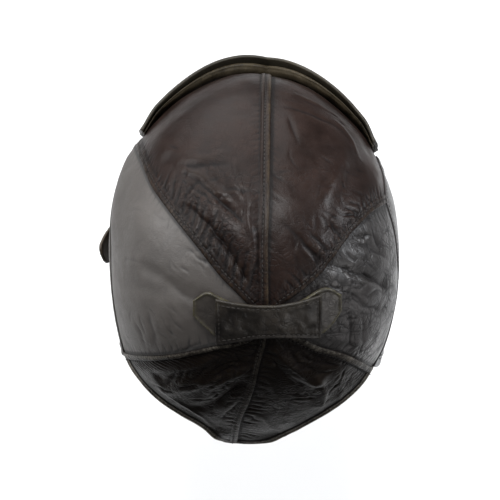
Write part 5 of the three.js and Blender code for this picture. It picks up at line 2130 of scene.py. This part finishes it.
@dataclass
class ChinStrap:
    """The strap from the right flap through the buckle on the left one."""

    left: EarFlap
    right: EarFlap
    width: float = 16.0
    leather: float = 2.0
    gap: float = 0.35
    stand: float = 0.7
    hem_rise: float = 0.8
    wire: float = 1.2
    ply: float = 1.4
    seat: float = 26.0
    across: float = 0.13
    down: float = 0.66
    lean: float = 15.0
    keeper: float = 26.0
    hole_radius: float = 1.9
    hole_pitch: float = 12.0

    def __post_init__(self) -> None:
        """Places the buckle and the strap's knots."""
        self.form = self.left.form
        ring = self.wire + self.gap + self.ply
        self.bar_depth = -(self.leather / 2 + self.gap + ring)
        self.tab_bottom = self.bar_depth - ring
        self.normal = self.left.normal(self.across, self.down)
        lean = math.radians(self.lean)
        along = np.array([0.0, math.cos(lean), math.sin(lean)])
        self.along = unit(along - self.normal * (along @ self.normal))
        self.side = unit(np.cross(self.normal, self.along))
        offset = self.hem_rise + 2 * self.gap - self.tab_bottom
        self.origin = self.left.point(self.across, self.down, offset) - self.along * self.seat
        self.points, self.normals = self._knots()

    def on_buckle(self, along: float, side: float, out: float) -> Array:
        """Gives a point in the buckle's own axes."""
        return self.origin + self.along * along + self.side * side + self.normal * out

    def _knots(self) -> tuple[Array, Array]:
        """Lists the strap's knots and the normals of its face.

        Returns:
            Points and normals.
        """
        points, normals = [], []
        stand = self.leather / 2 + self.stand + self.hem_rise
        for across, down in SEWN_ROWS:
            points.append(self.right.point(across, down, stand))
            normals.append(self.right.normal(across, down))
        form = self.form
        inside = form.centre + np.array([0.0, -0.45 * form.front_reach, -0.35 * form.drop])
        for side, fore, up in CHIN_ROWS:
            point = form.centre + np.array([side * form.half_width, -fore * form.front_reach, up * form.drop])
            points.append(point)
            normals.append(unit(point - inside))
        for along in (-20.0, -10.0, 0.0, 10.0, 20.0, self.keeper):
            points.append(self.on_buckle(along, 0.0, 0.0))
            normals.append(self.normal)
        for along, out, turn in FREE_END_ROWS:
            points.append(self.on_buckle(along * self.width, 0.0, out * self.width))
            rotation = Matrix.Rotation(math.radians(turn), 3, Vector(self.along))
            normals.append(np.array(rotation @ Vector(self.normal)))
        return np.array(points), np.array(normals)

    def frame(self, shares: Array) -> tuple[Array, Array, Array]:
        """Gives the strap's centre line, face normals and side vectors.

        Args:
            shares: Places along the strap, from 0 to 1.

        Returns:
            Points, normals and sides.
        """
        count = len(self.points)
        line = FormLine(self.points)
        places = shares * (count - 1)
        step = 1e-3
        points = line.points(places)
        ahead = line.points(np.minimum(places + step, count - 1))
        behind = line.points(np.maximum(places - step, 0.0))
        along = unit(ahead - behind)
        index = np.minimum(places.astype(int), count - 2)
        part = (places - index)[:, None]
        normal = self.normals[index] * (1 - part) + self.normals[index + 1] * part
        normal = unit(normal - along * np.sum(normal * along, axis=1)[:, None])
        return points, normal, unit(np.cross(normal, along))

    def build(self, material: Material) -> Piece:
        """Builds the strap with round edges, creased lines and its holes.

        Args:
            material: The strap leather.

        Returns:
            The object.
        """
        shares = np.concatenate([np.linspace(0.0, 0.98, 420), np.linspace(0.983, 1.0, 16)])
        points, normal, side = self.frame(shares)
        at = np.array([0.0, 0.978, *(row[0] for row in STRAP_TIP)])
        full = np.array([1.0, 1.0, *(row[1] for row in STRAP_TIP)])
        half = self.width / 2 * np.interp(shares, at, full)
        noise = SoftNoise(61)
        section: list[Array] = []
        wear: list[float] = []
        thick = self.leather / 2
        parts = ((-1, -0.88, 5), (-0.8, 0.8, 17), (0.88, 1, 5))
        steps = np.concatenate([np.linspace(*part) for part in parts])
        for face in (1.0, -1.0):
            for step in steps * face:
                away = (1.0 - abs(step)) * half
                drop = rounding(away, thick)
                groove = 0.22 * bell(away - 1.9, 0.45)
                place = points + side * (step * half)[:, None]
                crumple = 0.07 * noise.at(place, 5.0)
                out = face * (thick - drop - groove) + crumple
                section.append(place + normal * out[:, None])
                wear.append(float(np.clip(1.0 - (1.0 - abs(step)) * 9.0, 0.0, 0.85)))
        grid = np.stack(section, axis=1)
        worn = np.repeat(np.array(wear)[None, :], len(grid), axis=0)
        strap = tube("chin_strap_hide", grid, (material,), {"wear": worn, "shade": np.zeros_like(worn)})
        return self._punched(strap)

    def _punched(self, strap: Piece) -> Piece:
        """Cuts the buckle holes.

        Args:
            strap: The whole strap.

        Returns:
            The strap with its holes.
        """
        punches = []
        axes = Matrix((self.along, self.side, self.normal)).transposed()
        for hole in (-2, -1, 0, 1):
            radius, depth = self.hole_radius * MM, 6 * self.leather * MM
            bpy.ops.mesh.primitive_cylinder_add(vertices=24, radius=radius, depth=depth)
            punch = bpy.context.object
            place = Matrix.Translation(Vector(self.on_buckle(hole * self.hole_pitch, 0.0, 0.0) * MM))
            punch.data.transform(place @ axes.to_4x4())
            cut = strap.modifiers.new("hole", "BOOLEAN")
            cut.operation = "DIFFERENCE"
            cut.solver = "EXACT"
            cut.object = punch
            punches.append(punch)
        piece = plain_copy(strap, "chin_strap_leather")
        for used in (*punches, strap):
            bpy.data.objects.remove(used)
        return piece

    def sewn_rows(self) -> list[Array]:
        """Gives the lines of stitches along both edges and at the sewn end."""
        points, normal, side = self.frame(np.linspace(0.008, 0.972, 400))
        lines = []
        for sign in (-1, 1):
            lines.append(points + side * (sign * (self.width / 2 - 1.9)) + normal * (self.leather / 2 - 0.12))
        ends, face, across = self.frame(np.full(12, 0.008))
        spread_out = np.linspace(-1, 1, 12)[:, None] * (self.width / 2 - 1.9)
        lines.append(ends + across * spread_out + face * (self.leather / 2 + 0.02))
        return lines


@dataclass(frozen=True)
class PhotoCamera:
    """The camera at the photograph's angle."""

    place: Row = (60.37, 558.48, 870.85)
    right: Row = (-0.998, 0.044, 0.035)
    up: Row = (-0.021, -0.866, 0.499)
    back: Row = (0.052, 0.497, 0.866)
    focal_pixels: float = 1883.0
    frame_pixels: float = 500.0
    sensor: float = 36.0

    def build(self) -> None:
        """Makes the camera and gives it to the scene."""
        data = bpy.data.cameras.new("photo_camera")
        data.sensor_width = self.sensor
        data.lens = self.focal_pixels / self.frame_pixels * self.sensor
        data.clip_start = 0.05
        data.clip_end = 20.0
        camera = bpy.data.objects.new("photo_camera", data)
        turned = Matrix((self.right, self.up, self.back)).transposed()
        camera.matrix_world = Matrix.Translation(Vector(self.place) * MM) @ turned.to_4x4()
        bpy.context.scene.collection.objects.link(camera)
        bpy.context.scene.camera = camera


@dataclass(frozen=True)
class Softbox:
    """One area light."""

    name: str
    place: Row
    size: float
    power: float
    colour: Row = (1.0, 1.0, 1.0)
    aim: Row = (0.0, 0.0, -0.08)

    def build(self) -> None:
        """Makes the light."""
        data = bpy.data.lights.new(self.name, "AREA")
        data.shape = "DISK"
        data.size = self.size
        data.energy = self.power
        data.color = self.colour
        light = bpy.data.objects.new(self.name, data)
        light.location = self.place
        look = Vector(self.aim) - Vector(self.place)
        light.rotation_euler = look.to_track_quat("-Z", "Y").to_euler()
        bpy.context.scene.collection.objects.link(light)


@dataclass(frozen=True)
class Studio:
    """The pale floor and the soft lights."""

    floor_size: float = 1.3
    floor_place: Row = (0.0, -0.52, -0.42)
    floor_colour: Row = (0.68, 0.68, 0.68)
    world_strength: float = 0.14

    def build(self) -> None:
        """Makes the floor, the lights and the world."""
        bpy.ops.mesh.primitive_plane_add(size=self.floor_size, location=self.floor_place)
        floor = bpy.context.object
        floor.name = "studio_floor"
        board = NodeBoard("pale_floor")
        stain = board.noise(board.object_coordinates(), 2.0, 2.0, 0.5)
        rough = board.add(0.8, board.scaled(stain, 0.1))
        board.shader(self.floor_colour, rough, board.bump(stain, 0.01, 0.001))
        floor.data.materials.append(board.material)
        bpy.context.scene.view_settings.view_transform = "Standard"
        world = bpy.data.worlds.new("studio")
        bpy.context.scene.world = world
        world.use_nodes = True
        back = world.node_tree.nodes["Background"]
        back.inputs["Color"].default_value = (1.0, 1.0, 1.0, 1.0)
        back.inputs["Strength"].default_value = self.world_strength
        Softbox("top_box", (0.12, 0.02, 1.40), 0.50, 19.0).build()
        Softbox("front_box", (0.30, -1.15, 0.85), 1.7, 26.0).build()
        Softbox("left_box", (1.15, -0.20, 0.55), 0.9, 14.0).build()
        Softbox("right_box", (-1.15, -0.10, 0.65), 0.6, 16.0, (0.93, 0.96, 1.0)).build()
        Softbox("nape_box", (-0.75, 1.05, 0.20), 0.8, 4.5).build()


class Helmet:
    """Puts the helmet together and ties each piece to the frame."""

    def __init__(self) -> None:
        """Builds the finishes and the crown's lines."""
        self.finishes = Finishes()
        self.crown = Crown(CrownForm())
        self.stitching = Stitching()

    def settle(self, piece: Piece, slot: str, *nodes: str) -> None:
        """Lets a piece ride on the body and stand for its nodes.

        Args:
            piece: The piece.
            slot: The record's material slot, which is not used.
            nodes: The nodes that it stands for.
        """
        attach(piece, BODY)
        if nodes:
            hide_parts(*nodes)
        LOG.info("%s: %d faces", piece.name, len(piece.data.polygons))

    def build_panels(self) -> None:
        """Builds the six panels and their stitched rows."""
        finishes = self.finishes
        outside = {
            "front_leather": finishes.front,
            "side_leather": finishes.side,
            "back_leather": finishes.back,
        }
        for panel in self.crown.panels():
            hide = outside[panel.slot]
            # The right side panel takes the copy of the side leather with painted light.
            if panel.name.startswith("side_panel_right"):
                hide = finishes.side_right
            piece = panel.build(hide, self.finishes.flesh)
            self.settle(piece, panel.slot, panel.name.removesuffix("_hide"))
            if panel.near_lap:
                self.stitching.add(panel.sewn_row(panel.near_lap, False))
            if panel.far_lap:
                self.stitching.add(panel.sewn_row(panel.far_lap, True))
            if panel.hem:
                self.stitching.add(panel.hem_row(panel.hem))

    def build_flaps(self) -> tuple[EarFlap, EarFlap]:
        """Builds the ear flaps.

        Returns:
            The left and the right flap.
        """
        flaps = []
        for side in ("left", "right"):
            seam = self.crown.rim_between(f"temple_{side}", f"corner_{side}")
            # The right flap takes the copy of the side leather with painted light.
            hide = self.finishes.side if side == "left" else self.finishes.side_right
            flap = EarFlap(f"ear_flap_{side}_hide", self.crown.relief, seam, FLAP_ROWS[side])
            piece = flap.build(hide, self.finishes.flesh)
            self.settle(piece, "side_leather", f"ear_flap_{side}")
            for row in flap.sewn_rows():
                self.stitching.add(row)
            flaps.append(flap)
        return flaps[0], flaps[1]

    def build_brow(self) -> None:
        """Builds the cuff and the roll."""
        brow = Brow(self.crown)
        self.settle(brow.cuff(self.finishes.cuff), "front_leather", "brow_band")
        roll = brow.roll(self.finishes.roll)
        self.settle(roll, "worn_leather", "brow_roll")
        for row in brow.sewn_rows():
            self.stitching.add(row)

    def build_tab(self) -> None:
        """Builds the two layers over the hub."""
        form = self.crown.form
        base = HubPatch("tab_base_hide", form, BASE_OUTLINE, 42.5, 18.0, 1.25, 1.4, 0.8, 0.0, 0.30, 71, 0.95)
        tab = HubPatch("tab_strap_hide", form, TAB_OUTLINE, 29.0, 14.5, 3.0, 2.2, 0.0, 2.2, 0.60, 73, 0.5)
        self.settle(base.build(self.finishes.patch, self.finishes.flesh), "worn_leather", "tab_base")
        self.settle(tab.build(self.finishes.tab, self.finishes.flesh), "strap_leather", "tab_strap")
        self.stitching.add(tab.sewn_row())

    def build_strap(self, left: EarFlap, right: EarFlap) -> None:
        """Builds the chin strap.

        Args:
            left: The left flap.
            right: The right flap.
        """
        strap = ChinStrap(left, right)
        self.settle(strap.build(self.finishes.strap), "strap_leather", "chin_strap")
        for row in strap.sewn_rows():
            self.stitching.add(row)

    def dress_nodes(self, nodes: dict[str, Piece]) -> None:
        """Gives the solids that stay their finish.

        Args:
            nodes: The frame's objects by name.
        """
        kept = {
            "buckle_frame": self.finishes.brass,
            "buckle_prong": self.finishes.brass,
            "buckle_tab": self.finishes.strap,
            "strap_loop": self.finishes.strap,
        }
        for name, material in kept.items():
            for slot in nodes[name].material_slots:
                slot.material = material

    def build(self, nodes: dict[str, Piece]) -> None:
        """Builds every piece.

        Args:
            nodes: The frame's objects by name.
        """
        self.build_panels()
        left, right = self.build_flaps()
        self.build_brow()
        self.build_tab()
        self.build_strap(left, right)
        self.dress_nodes(nodes)
        self.settle(self.stitching.build(self.finishes.thread), "back_leather")


def main() -> None:
    """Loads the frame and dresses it."""
    logging.basicConfig(level=logging.INFO, format="%(message)s")
    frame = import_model()
    PhotoCamera().build()
    Studio().build()
    Helmet().build(frame["nodes"])


if __name__ == "__main__":
    main()
